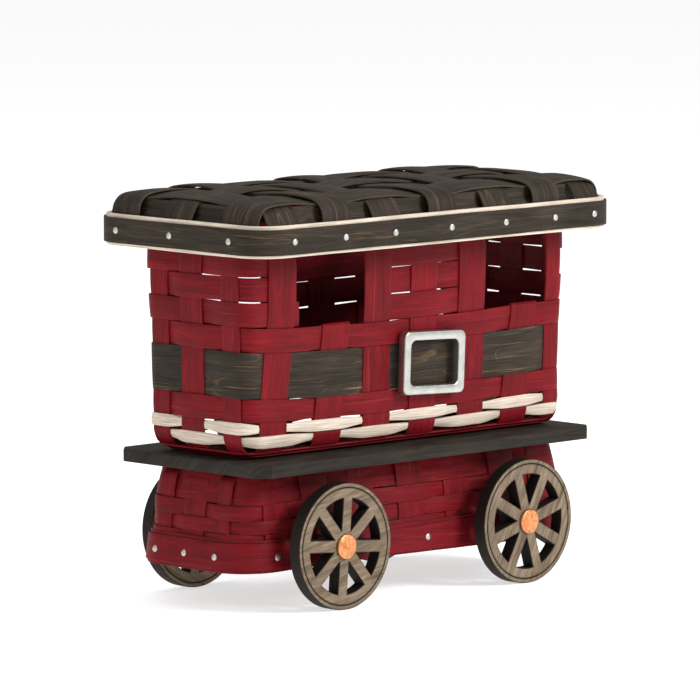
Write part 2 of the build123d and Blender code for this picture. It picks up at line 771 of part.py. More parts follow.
lid_corner_inner = lid_corner - lid_band_thickness
with BuildPart() as lid_band:
    add(hoop((lid_hoop_half_x, lid_hoop_half_y), (lid_hoop_half_x, lid_hoop_half_y), lid_band_row,
             lid_corner_inner, lid_band_thickness))
    cut_tack_holes(lid_tacks_at, lid_tack_length + seat_gap)
lid_band.part.label = "lid_band"
export_step(lid_band.part, "parts/lid_band.step")

lid_inside = (lid_inside_x, lid_inside_y)
with BuildPart() as lid_hoop:
    add(hoop(lid_inside, lid_inside, lid_hoop_row, lid_corner_inner - lid_hoop_thickness,
             lid_hoop_thickness - splint_gap / 2))
    fillet(edges().group_by(Axis.Z)[-1] + edges().group_by(Axis.Z)[0], lid_hoop_edge)
    cut_tack_holes(lid_tacks_at, lid_tack_length + seat_gap)
lid_hoop.part.label = "lid_hoop"
export_step(lid_hoop.part, "parts/lid_hoop.step")

part = tacks(lid_tacks_at, lid_tack_length)
part.label = "lid_tacks"
export_step(part, "parts/lid_tacks.step")

slope = tan(radians(roof_side_slope))
side_reach = roof_long_width / 2 * cos(radians(roof_side_slope)) + run_on
side_centre_height = roof_height - roof_side_drop


def cross_splint_path(index):
    """Path of one crosswise roof splint: over and under the three lengthwise ones."""
    at_end = index in (0, len(roof_cross_places) - 1)
    over_side = index % 2 == 1
    side_lift = roof_wave if over_side else -roof_wave
    leg = leg_y - (end_leg_inset if at_end else 0)
    outer = roof_side_long_at + side_reach
    inner = roof_side_long_at - side_reach
    outer_height = side_centre_height - slope * side_reach + side_lift
    inner_height = side_centre_height + slope * side_reach + side_lift
    middle_height = roof_height - side_lift
    middle = roof_long_width / 2 + run_on
    if at_end:
        shoulder = [(leg, outer_height + slope * (outer - leg))]
    else:
        shoulder = [(leg, shoulder_height), (outer, outer_height)]
    front = [(-leg, roof_leg_low)] + [(-y, z) for y, z in shoulder]
    back = [(y, z) for y, z in reversed(shoulder)] + [(leg, roof_leg_low)]
    top = [(-inner, inner_height), (roof_middle_long_at - middle, middle_height),
           (roof_middle_long_at + middle, middle_height), (inner, inner_height)]
    points = front + top + back
    turn_down = roof_long_bend if at_end else roof_shoulder_bend
    bends = [turn_down] + [roof_bend] * (len(points) - 4) + [turn_down]
    return points, bends


with BuildPart() as lid_cross_splints:
    for index, place in enumerate(roof_cross_places):
        points, bends = cross_splint_path(index)
        bent_splint(Plane.YZ.offset(place), points, bends, roof_cross_width)
lid_cross_splints.part.label = "lid_cross_splints"
export_step(lid_cross_splints.part, "parts/lid_cross_splints.step")


def long_splint_path(over_even, leg, base, foot):
    """Path of a lengthwise roof splint, heights counted from its own middle plane."""
    points = [(-leg, foot)]
    for index, place in enumerate(roof_cross_places):
        lift = roof_wave if (index % 2 == 0) == over_even else -roof_wave
        half = roof_cross_width / 2 + run_on
        if index == 0:
            points.append((-leg, base + lift))
        else:
            points.append((place - half, base + lift))
        if index == len(roof_cross_places) - 1:
            points.append((leg, base + lift))
        else:
            points.append((place + half, base + lift))
    points.append((leg, foot))
    return points


long_leg = leg_x - long_leg_inset
with BuildPart() as lid_long_splints:
    for side in (-1, 1):
        plane = Plane(origin=(0, side * roof_side_long_at, side_centre_height), x_dir=(1, 0, 0),
                      z_dir=(0, -cos(radians(roof_side_slope)), side * sin(radians(roof_side_slope))))
        points = long_splint_path(True, long_leg, 0.0,
                                  roof_leg_low + side_leg_lift - side_centre_height)
        bent_splint(plane, points, [roof_long_bend] * (len(points) - 2), roof_long_width)
    points = long_splint_path(False, long_leg, roof_height, roof_leg_low)
    bent_splint(Plane.XZ.offset(-roof_middle_long_at), points,
                [roof_long_bend] * (len(points) - 2), roof_long_width)
lid_long_splints.part.label = "lid_long_splints"
export_step(lid_long_splints.part, "parts/lid_long_splints.step")

# The side and end weavers fill the steep shoulder behind the splints that cross it
shoulder_top = (roof_side_long_at + side_reach, side_centre_height - slope * side_reach - roof_wave)
shoulder_run = leg_y - shoulder_top[0]
shoulder_rise = shoulder_top[1] - shoulder_height
shoulder_length = hypot(shoulder_run, shoulder_rise)
shoulder_tilt = degrees(atan2(shoulder_run, shoulder_rise))
side_weaver_length = 2 * (roof_end_cross_at - roof_cross_width / 2 - side_weaver_play)
side_weaver_inset = reach + side_weaver_room
end_weaver_x = long_leg - splint - end_weaver_room
end_weaver_foot = lid_hoop_low + end_weaver_low
end_weaver_top = roof_height - end_weaver_drop
with BuildPart() as lid_side_weavers:
    for side in (-1, 1):
        out_y = cos(radians(shoulder_tilt))
        out_z = sin(radians(shoulder_tilt))
        middle_y = (leg_y + shoulder_top[0]) / 2 - side_weaver_inset * out_y
        middle_z = (shoulder_height + shoulder_top[1]) / 2 - side_weaver_inset * out_z
        with BuildSketch(Plane(origin=(0, side * middle_y, middle_z), x_dir=(1, 0, 0),
                               z_dir=(0, side * out_y, out_z))):
            Rectangle(side_weaver_length, shoulder_length)
        extrude(amount=splint / 2, both=True)
        with Locations((side * end_weaver_x, 0, (end_weaver_foot + end_weaver_top) / 2)):
            Box(splint, 2 * end_weaver_half * lid_inside_y, end_weaver_top - end_weaver_foot)
lid_side_weavers.part.label = "lid_side_weavers"
export_step(lid_side_weavers.part, "parts/lid_side_weavers.step")

# Cleats bridge the lid and drop over the carriage's rim, so that the lid sits centred
cleat_low = car_top + seat_gap
cleat_high = side_centre_height + slope * side_reach - roof_wave - splint / 2 - seat_gap
cleat_end_high = shoulder_height - cleat_end_drop
cleat_half = leg_y - splint / 2 - seat_gap
rim_outside = car_half_y + splint / 2 + splint_gap + splint + cleat_side_play
cleat_shoulder = roof_side_long_at - side_reach
with BuildPart() as lid_cleats:
    for x in (cleat_inset - car_half_x, car_half_x - cleat_inset):
        with BuildSketch(Plane.YZ.offset(x)):
            with BuildLine():
                Polyline((-cleat_half, cleat_low - cleat_drop), (-rim_outside, cleat_low - cleat_drop),
                         (-rim_outside, cleat_low), (rim_outside, cleat_low),
                         (rim_outside, cleat_low - cleat_drop), (cleat_half, cleat_low - cleat_drop),
                         (cleat_half, cleat_end_high),
                         (cleat_shoulder, cleat_high), (-cleat_shoulder, cleat_high),
                         (-cleat_half, cleat_end_high), close=True)
            make_face()
        extrude(amount=cleat_width / 2, both=True)
lid_cleats.part.label = "lid_cleats"
export_step(lid_cleats.part, "parts/lid_cleats.step")
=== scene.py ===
# %% [markdown]
# # A woven railway-carriage basket
# The object is a small lidded basket in the shape of a railway carriage. It is woven from flat
# wood splints and stands on a board, an upturned basket and four spoked wheels.
# The measured frame holds every part's size and place. This lesson gives each part its real
# surface: splints that pass over and under each other, wood grain, charred edges and metal.
# The frame could be given materials and left as it is, but its splints are straight and sharp.
# So most parts are made again here as bent strips of wood, in the places that the frame gives.

# %% Load the frame
from math import asin, cos, pi, radians, sin, sqrt

import bmesh
import bpy
import numpy as np
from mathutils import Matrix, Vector
from mathutils.geometry import delaunay_2d_cdt


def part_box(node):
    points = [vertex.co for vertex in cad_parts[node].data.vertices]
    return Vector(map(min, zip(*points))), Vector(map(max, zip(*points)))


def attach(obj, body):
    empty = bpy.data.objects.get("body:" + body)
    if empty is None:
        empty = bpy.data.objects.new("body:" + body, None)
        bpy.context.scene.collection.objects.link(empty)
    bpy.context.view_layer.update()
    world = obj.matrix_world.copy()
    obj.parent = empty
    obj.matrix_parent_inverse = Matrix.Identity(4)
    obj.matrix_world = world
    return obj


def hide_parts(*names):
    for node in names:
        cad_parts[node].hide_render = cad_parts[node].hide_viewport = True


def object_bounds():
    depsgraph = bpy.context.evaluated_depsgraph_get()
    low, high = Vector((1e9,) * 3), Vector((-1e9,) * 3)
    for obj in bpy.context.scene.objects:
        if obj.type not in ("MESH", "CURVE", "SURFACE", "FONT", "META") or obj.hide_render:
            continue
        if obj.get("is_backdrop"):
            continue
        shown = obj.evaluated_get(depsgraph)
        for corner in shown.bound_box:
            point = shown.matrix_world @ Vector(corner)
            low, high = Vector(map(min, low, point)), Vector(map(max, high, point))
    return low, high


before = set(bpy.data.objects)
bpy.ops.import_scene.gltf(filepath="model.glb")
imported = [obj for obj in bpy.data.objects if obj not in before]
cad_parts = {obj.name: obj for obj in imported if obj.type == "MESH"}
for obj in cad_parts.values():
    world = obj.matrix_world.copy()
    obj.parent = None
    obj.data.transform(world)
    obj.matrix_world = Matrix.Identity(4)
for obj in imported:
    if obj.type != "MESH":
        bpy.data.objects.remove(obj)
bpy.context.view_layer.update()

MM = 0.001

# %% [markdown]
# ## Measuring the frame
# A node such as the crosswise stakes is a group of seven separate solids. Their places could be
# typed in again, but then they could drift from the frame. Here each node's mesh is taken apart
# into its solids, and every width, height and place is read from their boxes.

# %% Read the separate solids of a node


def solids(node):
    """Boxes, as (lowest corner, highest corner), of a node's separate solids."""
    mesh = bmesh.new()
    mesh.from_mesh(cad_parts[node].data)
    bmesh.ops.remove_doubles(mesh, verts=mesh.verts, dist=MM / 1000)
    unseen = set(mesh.verts)
    boxes = []
    while unseen:
        waiting = [unseen.pop()]
        group = []
        while waiting:
            vertex = waiting.pop()
            group.append(tuple(vertex.co))
            for edge in vertex.link_edges:
                other = edge.other_vert(vertex)
                if other in unseen:
                    unseen.remove(other)
                    waiting.append(other)
        places = np.array(group)
        boxes.append((places.min(0), places.max(0)))
    mesh.free()
    return sorted(boxes, key=lambda box: tuple(box[0].round(5)))


def places_along(node, axis):
    """(middle, width) of each solid of a node along one axis, in order."""
    found = [((low[axis] + high[axis]) / 2, high[axis] - low[axis]) for low, high in solids(node)]
    return sorted(found)


def row_of(node):
    """Lower and upper edge of a weaver."""
    low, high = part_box(node)
    return low.z, high.z


car_side_stakes = places_along("car_cross_stakes", 0)
car_end_stakes = places_along("car_long_stakes", 1)
chassis_side_stakes = places_along("chassis_cross_stakes", 0)
chassis_end_stakes = places_along("chassis_long_stakes", 1)
roof_cross = places_along("lid_cross_splints", 0)
roof_long = places_along("lid_long_splints", 1)
print("stakes:", len(car_side_stakes), len(car_end_stakes), "in the body,",
      len(chassis_side_stakes), len(chassis_end_stakes), "in the chassis")

# %% [markdown]
# ## Camera, floor and lights
# The basket is seen from its front left corner, from far away with a long lens, so that its
# edges stay nearly parallel. A white table and large soft lamps keep the shadows faint. The
# camera could be aimed by hand; it is placed by two angles and a distance, which are easy to read.

# %% Place the camera
scene = bpy.context.scene
BEARING = radians(-44.35)
RISE = radians(6.49)
DISTANCE = 3.42
AIM = Vector((-1.1, 4.9, 119.5)) * MM
away = Vector((sin(BEARING) * cos(RISE), -cos(BEARING) * cos(RISE), sin(RISE)))
camera = bpy.data.objects.new("camera", bpy.data.cameras.new("camera"))
scene.collection.objects.link(camera)
camera.location = AIM + away * DISTANCE
camera.rotation_euler = (-away).to_track_quat("-Z", "Y").to_euler()
camera.data.sensor_width = 36.0
camera.data.lens = 347.16
camera.data.clip_end = 50.0
scene.camera = camera
print("camera at", [round(v, 3) for v in camera.location])

# %% Lay the floor and light it
scene.view_settings.view_transform = "Standard"
scene.view_settings.look = "None"


def soft_lamp(name, place, size, power):
    """A square soft lamp aimed at the middle of the basket."""
    lamp = bpy.data.objects.new(name, bpy.data.lights.new(name, "AREA"))
    lamp.data.size = size
    lamp.data.energy = power
    lamp.location = place
    lamp.rotation_euler = (Vector(place) - AIM).to_track_quat("Z", "Y").to_euler()
    scene.collection.objects.link(lamp)
    return lamp


soft_lamp("key_lamp", (0.75, -1.9, 1.35), 0.8, 44.0)
soft_lamp("side_lamp", (-1.9, 0.4, 1.1), 1.2, 9.0)
soft_lamp("top_lamp", (0.0, 0.6, 2.2), 1.6, 12.0)
world = bpy.data.worlds.new("white_room")
world.use_nodes = True
backdrop = world.node_tree.nodes["Background"]
backdrop.inputs["Color"].default_value = (1.0, 1.0, 1.0, 1.0)
# the wall behind looks white, yet it lights the basket much less than the lamps do
seen = world.node_tree.nodes.new("ShaderNodeLightPath")
strength = world.node_tree.nodes.new("ShaderNodeMapRange")
strength.inputs["To Min"].default_value = 0.38
strength.inputs["To Max"].default_value = 1.0
world.node_tree.links.new(seen.outputs["Is Camera Ray"], strength.inputs["Value"])
world.node_tree.links.new(strength.outputs["Result"], backdrop.inputs["Strength"])
scene.world = world

FLOOR_HALF = 6.0
floor_mesh = bpy.data.meshes.new("floor")
floor_mesh.from_pydata([(-FLOOR_HALF, -FLOOR_HALF, 0), (FLOOR_HALF, -FLOOR_HALF, 0),
                        (FLOOR_HALF, FLOOR_HALF, 0), (-FLOOR_HALF, FLOOR_HALF, 0)],
                       [], [(0, 1, 2, 3)])
floor = bpy.data.objects.new("floor", floor_mesh)
scene.collection.objects.link(floor)
floor_paint = bpy.data.materials.new("white_table")
floor_paint.use_nodes = True
floor_shader = floor_paint.node_tree.nodes["Principled BSDF"]
# a little light of its own keeps the table white, so that only a faint shadow shows
for socket, value in (("Base Color", (0.8, 0.8, 0.8, 1)), ("Roughness", 0.9),
                      ("Emission Color", (1, 1, 1, 1)), ("Emission Strength", 0.62)):
    floor_shader.inputs[socket].default_value = value
floor_mesh.materials.append(floor_paint)
floor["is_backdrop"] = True

# %% [markdown]
# ## Materials made of nodes
# A finish is more than a colour: wood has fibres, broad figure and pores, and each splint was cut
# from another place of the log. A picture of wood could be wrapped round each strip, but it would
# repeat and stretch. Noise nodes are used instead, stretched along the splint. They read the
# attribute "grain" that every strip carries: how far along, how far across, and which splint.

# %% Small helpers for building materials


class Recipe:
    """A material with short ways to add and join its nodes."""

    def __init__(self, name):
        self.material = bpy.data.materials.new(name)
        self.material.use_nodes = True
        self.tree = self.material.node_tree
        self.shader = self.tree.nodes["Principled BSDF"]

    def set_in(self, socket, value):
        """A socket takes a number, a colour, or another node's output."""
        if isinstance(value, bpy.types.NodeSocket):
            self.tree.links.new(value, socket)
        else:
            socket.default_value = value

    def node(self, kind, inputs=None, out=0, **settings):
        made = self.tree.nodes.new(kind)
        for name, value in settings.items():
            setattr(made, name, value)
        for name, value in (inputs or {}).items():
            self.set_in(made.inputs[name], value)
        return made.outputs[out]

    def stretched(self, source, stretch):
        return self.node("ShaderNodeVectorMath", {0: source, 1: stretch}, operation="MULTIPLY")

    def noise(self, source, stretch, detail=3.0, distortion=0.0, roughness=0.55):
        """Noise from 0 to 1 over coordinates stretched by three factors."""
        return self.node("ShaderNodeTexNoise", {
            "Vector": self.stretched(source, stretch), "Scale": 1.0, "Detail": detail,
            "Roughness": roughness, "Distortion": distortion})

    def ramp(self, source, stops):
        """A colour ramp through (place, colour) stops."""
        made = self.tree.nodes.new("ShaderNodeValToRGB")
        while len(made.color_ramp.elements) < len(stops):
            made.color_ramp.elements.new(0.5)
        for element, (place, colour) in zip(made.color_ramp.elements, stops):
            element.position = place
            element.color = (*colour, 1.0) if len(colour) == 3 else colour
        self.set_in(made.inputs["Fac"], source)
        return made.outputs["Color"]

    def spread(self, source, low, high, new_low=0.0, new_high=1.0):
        """Stretch the range low to high over a new range, held at its ends."""
        return self.node("ShaderNodeMapRange", {
            "Value": source, "From Min": low, "From Max": high, "To Min": new_low,
            "To Max": new_high}, clamp=True)

    def maths(self, operation, first, second=0.0):
        return self.node("ShaderNodeMath", {0: first, 1: second}, operation=operation)

    def mix(self, share, first, second, kind="MIX"):
        made = self.tree.nodes.new("ShaderNodeMix")
        made.data_type = "RGBA"
        made.blend_type = kind
        for socket, value in zip((made.inputs[0], made.inputs[6], made.inputs[7]),
                                 (share, first, second)):
            if isinstance(value, tuple) and len(value) == 3:
                value = (*value, 1.0)
            self.set_in(socket, value)
        return made.outputs[2]

    def shaded(self, colour, shade):
        """A colour made lighter or darker by a number."""
        grey = self.node("ShaderNodeCombineColor", {"Red": shade, "Green": shade, "Blue": shade})
        return self.mix(1.0, colour, grey, "MULTIPLY")

    def bump(self, height, depth, strength=1.0):
        return self.node("ShaderNodeBump", {"Height": height, "Distance": depth,
                                            "Strength": strength})

    def finish(self, **sockets):
        for name, value in sockets.items():
            self.set_in(self.shader.inputs[name.replace("_", " ")], value)
        return self.material


# %% A recipe for dyed and plain splints


def splint_finish(name, tones, fleck, edge_tone, figure_power=1.0, gloss=0.5, shine=0.3,
                  ring_share=0.0):
    """Wood splint: broad figure, growth rings, fine fibres, pores and worn edges."""
    recipe = Recipe(name)
    grain = recipe.node("ShaderNodeAttribute", attribute_name="grain", out=1)
    edge = recipe.node("ShaderNodeAttribute", attribute_name="edge", out=2)
    figure = recipe.noise(grain, (22.0, 260.0, 13.0), 5.0, 0.9)
    fibres = recipe.noise(grain, (60.0, 2300.0, 31.0), 3.0)
    pores = recipe.noise(grain, (170.0, 3600.0, 53.0), 2.0)
    blotch = recipe.noise(grain, (34.0, 60.0, 23.0), 2.0)
    batch = recipe.noise(grain, (0.0, 0.0, 97.0), 0.0)
    body = recipe.ramp(recipe.spread(figure, 0.5 - 0.28 / figure_power, 0.5 + 0.28 / figure_power),
                       [(0.0, tones[0]), (0.5, tones[1]), (1.0, tones[2])])
    shade = recipe.maths("ADD", recipe.spread(fibres, 0.3, 0.7, 0.62, 1.2),
                         recipe.spread(blotch, 0.3, 0.7, -0.14, 0.14))
    shade = recipe.maths("ADD", shade, recipe.spread(batch, 0.3, 0.7, -0.12, 0.12))
    body = recipe.shaded(body, shade)
    streak = recipe.spread(recipe.noise(grain, (11.0, 420.0, 71.0), 5.0, 1.6), 0.62, 0.74)
    body = recipe.mix(streak, body, fleck)
    hills = recipe.noise(grain, (9.0, 46.0, 41.0), 1.5, 0.6)
    rings = recipe.maths("FRACT", recipe.maths("MULTIPLY", hills, 7.0))
    off_ring = recipe.maths("ABSOLUTE", recipe.maths("SUBTRACT", rings, 0.5))
    ring = recipe.maths("MULTIPLY", recipe.spread(off_ring, 0.0, 0.035, ring_share, 0.0),
                        recipe.spread(blotch, 0.48, 0.64))
    body = recipe.mix(ring, body, fleck)
    body = recipe.mix(recipe.spread(pores, 0.62, 0.72, 0.0, 0.6), body, tones[0])
    rub = recipe.maths("MULTIPLY", edge, recipe.spread(blotch, 0.35, 0.7, 0.25, 0.9))
    body = recipe.mix(rub, body, edge_tone)
    height = recipe.maths("SUBTRACT", fibres, recipe.spread(pores, 0.6, 0.7, 0.0, 0.5))
    return recipe.finish(Base_Color=body, Roughness=recipe.spread(fibres, 0.3, 0.7, gloss, gloss + 0.14),
                         Normal=recipe.bump(height, 0.09 * MM, 0.9),
                         Specular_IOR_Level=shine)


red_dye = splint_finish("red_dyed_splint", [(0.092, 0.002, 0.004), (0.170, 0.003, 0.007),
                                            (0.240, 0.006, 0.012)],
                        (0.29, 0.024, 0.026), (0.23, 0.016, 0.018), 0.8, 0.46, 0.14, 0.2)
dark_stain = splint_finish("dark_stained_splint", [(0.019, 0.014, 0.010), (0.040, 0.030, 0.021),
                                                   (0.070, 0.053, 0.038)],
                           (0.22, 0.130, 0.065), (0.09, 0.067, 0.048), 1.1, 0.55, 0.14, 0.5)
bare_wood = splint_finish("natural_splint", [(0.62, 0.50, 0.38), (0.74, 0.62, 0.50),
                                             (0.82, 0.72, 0.61)],
                          (0.60, 0.45, 0.33), (0.80, 0.68, 0.58), 0.8, 0.55, 0.3, 0.2)
print("splint finishes:", red_dye.name, dark_stain.name, bare_wood.name)

# %% [markdown]
# ## A splint
# A splint is a thin strip of wood, about a millimetre thick, whose edges are barely rounded. A
# thin box could be bent by a modifier, but the strips here follow walls that lean, sag and turn
# corners. So each strip is spanned between two lines of points, its lower and its upper edge, and
# a lift pushes it out or in where it crosses another. Its sheet is a grid of quads with a thin
# rounded edge, which catches the light as a cut edge does.

# %% Build a strip between two edge lines
COLUMN = 2.6 * MM
STEP = 2.0 * MM
SPLINT = 0.95 * MM
EDGE_ROUND = 0.22 * MM
seeds = np.random.default_rng(1907)


def unit(vectors):
    return vectors / np.maximum(np.linalg.norm(vectors, axis=-1, keepdims=True), 1e-12)


def strip(low, high, thick=SPLINT, lift=0.0, cup=0.0, closed=False, edge_round=EDGE_ROUND):
    """One strip as (points, faces, grain, edge); its outer side faces along x across."""
    low, high = np.asarray(low, float), np.asarray(high, float)
    middle = (low + high) / 2
    if closed:
        along = np.roll(middle, -1, 0) - np.roll(middle, 1, 0)
    else:
        along = np.gradient(middle, axis=0)
    across = high - low
    out = unit(np.cross(along, across))
    wide = np.linalg.norm(across, axis=1).mean()
    turns = np.linspace(0, pi / 2, 4)
    rim = edge_round * (1 - np.cos(turns))
    rim_half = thick / 2 - edge_round * (1 - np.sin(turns))
    columns = max(2, round((wide - 2 * edge_round) / COLUMN))
    inner = np.linspace(edge_round, wide - edge_round, columns + 1)[1:-1]
    place = np.concatenate([rim, inner, (wide - rim)[::-1]])
    half = np.concatenate([rim_half, np.full(len(inner), thick / 2), rim_half[::-1]])
    bow = cup * (1 - (2 * place / wide - 1) ** 2)
    count = len(low)
    lift = np.broadcast_to(lift, (count,))
    sheet = low[:, None] + across[:, None] * (place / wide)[None, :, None]
    front = sheet + out[:, None] * (lift[:, None] + bow + half)[..., None]
    back = sheet + out[:, None] * (lift[:, None] + bow - half)[..., None]
    ring = np.concatenate([front, back[:, ::-1]], axis=1)
    size = ring.shape[1]
    near = np.arange(size)
    beside = (near + 1) % size
    faces = []
    for index in range(count if closed else count - 1):
        here, there = index * size, (index + 1) % count * size
        faces += np.stack([here + near, there + near, there + beside, here + beside], 1).tolist()
    if not closed:
        for start in (0, (count - 1) * size):
            faces += [(start + c, start + c + 1, start + size - 2 - c, start + size - 1 - c)
                      for c in range(len(place) - 1)]
    run = np.concatenate([[0], np.cumsum(np.linalg.norm(np.diff(middle, axis=0), axis=1))])
    start = seeds.uniform(0, 3)
    kind = seeds.uniform(0, 9)
    side = np.concatenate([place, place[::-1]])
    grain = np.stack([np.broadcast_to((run + start)[:, None], ring.shape[:2]),
                      np.broadcast_to(side, ring.shape[:2]),
                      np.broadcast_to(kind + 0.2 * (np.arange(size) >= len(place)), ring.shape[:2])],
                     axis=-1)
    rubbed = np.clip(1 - np.minimum(side, wide - side) / edge_round, 0, 1)
    edge = np.broadcast_to(rubbed, ring.shape[:2])
    return ring.reshape(-1, 3), faces, grain.reshape(-1, 3), edge.reshape(-1)


def drift(run, amount, length=70 * MM):
    """A slow smooth wander of a hand-cut edge or a hand-set row."""
    total = np.zeros_like(run)
    for harmonic in (1.0, 2.3, 4.7):
        total += amount / harmonic * np.sin(run / length * 2 * pi * harmonic / 2
                                            + seeds.uniform(0, 2 * pi))
    return total / 1.6


# %% Turn strips into a named piece that rides on its body
pieces_made = []


def piece(name, parts, material, nodes, body, sharp=45):
    """Join parts into one object with its material, its place in the frame and its body."""
    points, faces, grain, edge = [], [], [], []
    count = 0
    for part_points, part_faces, part_grain, part_edge in parts:
        points.append(part_points)
        faces += [tuple(count + corner for corner in face) for face in part_faces]
        grain.append(part_grain)
        edge.append(part_edge)
        count += len(part_points)
    mesh = bpy.data.meshes.new(name)
    mesh.from_pydata(np.concatenate(points).tolist(), [], faces)
    if grain[0] is not None:
        mesh.attributes.new("grain", "FLOAT_VECTOR", "POINT").data.foreach_set(
            "vector", np.concatenate(grain).astype(np.float32).ravel())
    if edge[0] is not None:
        mesh.attributes.new("edge", "FLOAT", "POINT").data.foreach_set(
            "value", np.concatenate(edge).astype(np.float32))
    shape = bmesh.new()
    shape.from_mesh(mesh)
    bmesh.ops.recalc_face_normals(shape, faces=shape.faces)
    shape.to_mesh(mesh)
    shape.free()
    mesh.shade_smooth()
    mesh.set_sharp_from_angle(angle=radians(sharp))
    made = bpy.data.objects.new(name, mesh)
    scene.collection.objects.link(made)
    mesh.materials.append(material)
    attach(made, body)
    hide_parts(*nodes)
    pieces_made.append(name)
    print(name, len(parts), "parts,", count, "points")
    return made


# %% [markdown]
# ## Walking round a basket
# A weaver runs right round the basket: four straight walls and four round corners. It could be
# drawn as a curve for each row, but the stakes that it crosses are known by their place on a
# wall. So a run is counted in metres from the front left corner, and one function turns it into a
# point at any height, even where the walls lean.

# %% Points and runs round a rounded rectangle


def ring_knots(half, corner):
    """The run at which each straight side and each corner begins, and the whole run."""
    long_side, short_side, arc = 2 * (half[0] - corner), 2 * (half[1] - corner), corner * pi / 2
    return np.cumsum([0, long_side, arc, short_side, arc, long_side, arc, short_side, arc])


def ring_points(stations, half, corner):
    """Points of the rounded rectangle; stations 0 to 8 count its sides and corners in turn."""
    stations = np.mod(stations, 8)
    side = np.minimum(stations // 2, 3).astype(int)
    part = stations - 2 * side
    a, b = half[0] - corner, half[1] - corner
    centres = np.array([(-a, -b), (a, -b), (a, b), (-a, b)])
    start, end = centres[side], centres[(side + 1) % 4]
    centre = start + (end - start) * np.clip(part, 0, 1)[:, None]
    angle = (side - 1 + np.clip(part - 1, 0, 1)) * pi / 2
    return centre + corner * np.stack([np.cos(angle), np.sin(angle)], 1)


def crossings(half, corner, side_stakes, end_stakes, over_even):
    """(run, half width, +1 or -1) of every stake that a weaver meets on its way round."""
    knots = ring_knots(half, corner)
    a, b = half[0] - corner, half[1] - corner
    found = []
    for index, (place, width) in enumerate(side_stakes):
        sign = 1 if (index % 2 == 0) == over_even else -1
        found.append((knots[0] + a + place, width / 2, sign))
        found.append((knots[4] + a - place, width / 2, sign))
    for index, (place, width) in enumerate(end_stakes):
        sign = -1 if (index % 2 == 0) == over_even else 1
        found.append((knots[2] + b + place, width / 2, sign))
        found.append((knots[6] + b - place, width / 2, sign))
    return sorted(found)


def swing(run, met):
    """+1 outside a stake, -1 inside it, and a smooth pass between stakes."""
    places, signs = [], []
    for middle, half_width, sign in met:
        reach = half_width * 0.72
        places += [middle - reach, middle + reach]
        signs += [sign, sign]
    return np.sin(np.interp(run, places, signs) * pi / 2)


WEAVER_SWING = 0.85 * MM
STAKE_SWING = 0.25 * MM


class Basket:
    """A woven wall: its size and corner at each height, and its stakes."""

    def __init__(self, half_at, corner_at, side_stakes, end_stakes, sag_at, lean_at=None):
        self.lean_at = lean_at or (lambda index, z: 0.0)
        self.half_at = half_at
        self.corner_at = corner_at
        self.side_stakes = side_stakes
        self.end_stakes = end_stakes
        self.sag_at = sag_at

    def met(self, z, over_even):
        """Crossings at a height, with the first and last repeated past the ends of the loop."""
        half, corner = self.half_at(z), self.corner_at(z)
        leaning = [(place + self.lean_at(index, z), width)
                   for index, (place, width) in enumerate(self.side_stakes)]
        found = crossings(half, corner, leaning, self.end_stakes, over_even)
        whole = ring_knots(half, corner)[-1]
        before = [(run - whole, width, sign) for run, width, sign in found]
        after = [(run + whole, width, sign) for run, width, sign in found]
        return before + found + after

    def edge_line(self, run, middle, z, wander):
        """Points of one edge of a weaver, at its own height."""
        knots = ring_knots(self.half_at(middle), self.corner_at(middle))
        stations = np.interp(np.mod(run, knots[-1]), knots, np.arange(9))
        flat = ring_points(stations, self.half_at(z), self.corner_at(z))
        height = z + self.sag_at(flat[:, 0], z) + wander
        return np.column_stack([flat, height])

    def weaver(self, row, met, start, end, uneven, thick=SPLINT, cup=0.12 * MM, offset=0.0,
               amount=WEAVER_SWING, pinch=0.0):
        """A strip between two runs that swings past, and narrows behind, the stakes it meets."""
        middle = (row[0] + row[1]) / 2
        run = np.linspace(start, end, max(8, int((end - start) / STEP)))
        wave = swing(run, met) if met else np.zeros_like(run)
        narrow = pinch * (1 - wave) / 2
        low = self.edge_line(run, middle, row[0], drift(run, uneven) + narrow)
        high = self.edge_line(run, middle, row[1], drift(run, uneven) - narrow)
        return strip(low, high, thick, offset + amount * wave, cup)

    def full_row(self, row, over_even, uneven, **more):
        """A weaver right round the basket, its ends hidden behind a back stake."""
        middle = (row[0] + row[1]) / 2
        met = self.met(middle, over_even)
        half, corner = self.half_at(middle), self.corner_at(middle)
        knots = ring_knots(half, corner)
        hidden = self.side_stakes[3 if over_even else 4][0]
        start = knots[4] + half[0] - corner - hidden - knots[-1]
        return self.weaver(row, met, start, start + knots[-1], uneven, **more)

    def hoop(self, row, offset, thick, uneven=0.0, cup=0.0, edge_round=EDGE_ROUND):
        """A plain band right round, its joint at the back."""
        knots = ring_knots(self.half_at(row[0]), self.corner_at(row[0]))
        start = knots[4] + 0.35 * (knots[5] - knots[4]) - knots[-1]
        middle = (row[0] + row[1]) / 2
        run = np.linspace(start, start + knots[-1], int(knots[-1] / STEP))
        low = self.edge_line(run, middle, row[0], drift(run, uneven))
        high = self.edge_line(run, middle, row[1], drift(run, uneven))
        return strip(low, high, thick, offset, cup, edge_round=edge_round)


def level(x, z):
    """For baskets whose rows run level."""
    return 0.0 * x


print("one turn round a 200 by 60 mm basket is",
      round(ring_knots((100 * MM, 30 * MM), 8 * MM)[-1] / MM), "mm")

# %% [markdown]
# ## Stakes
# Stakes are the splints that stand upright in the walls. Each one is a single strip that runs
# down one wall, under the floor and up the other wall. It could be cut at the corners, but real
# ones are bent when wet, so each is made as one bent strip, lifted a little where weavers cross.

# %% Bend a strip through rounded corners


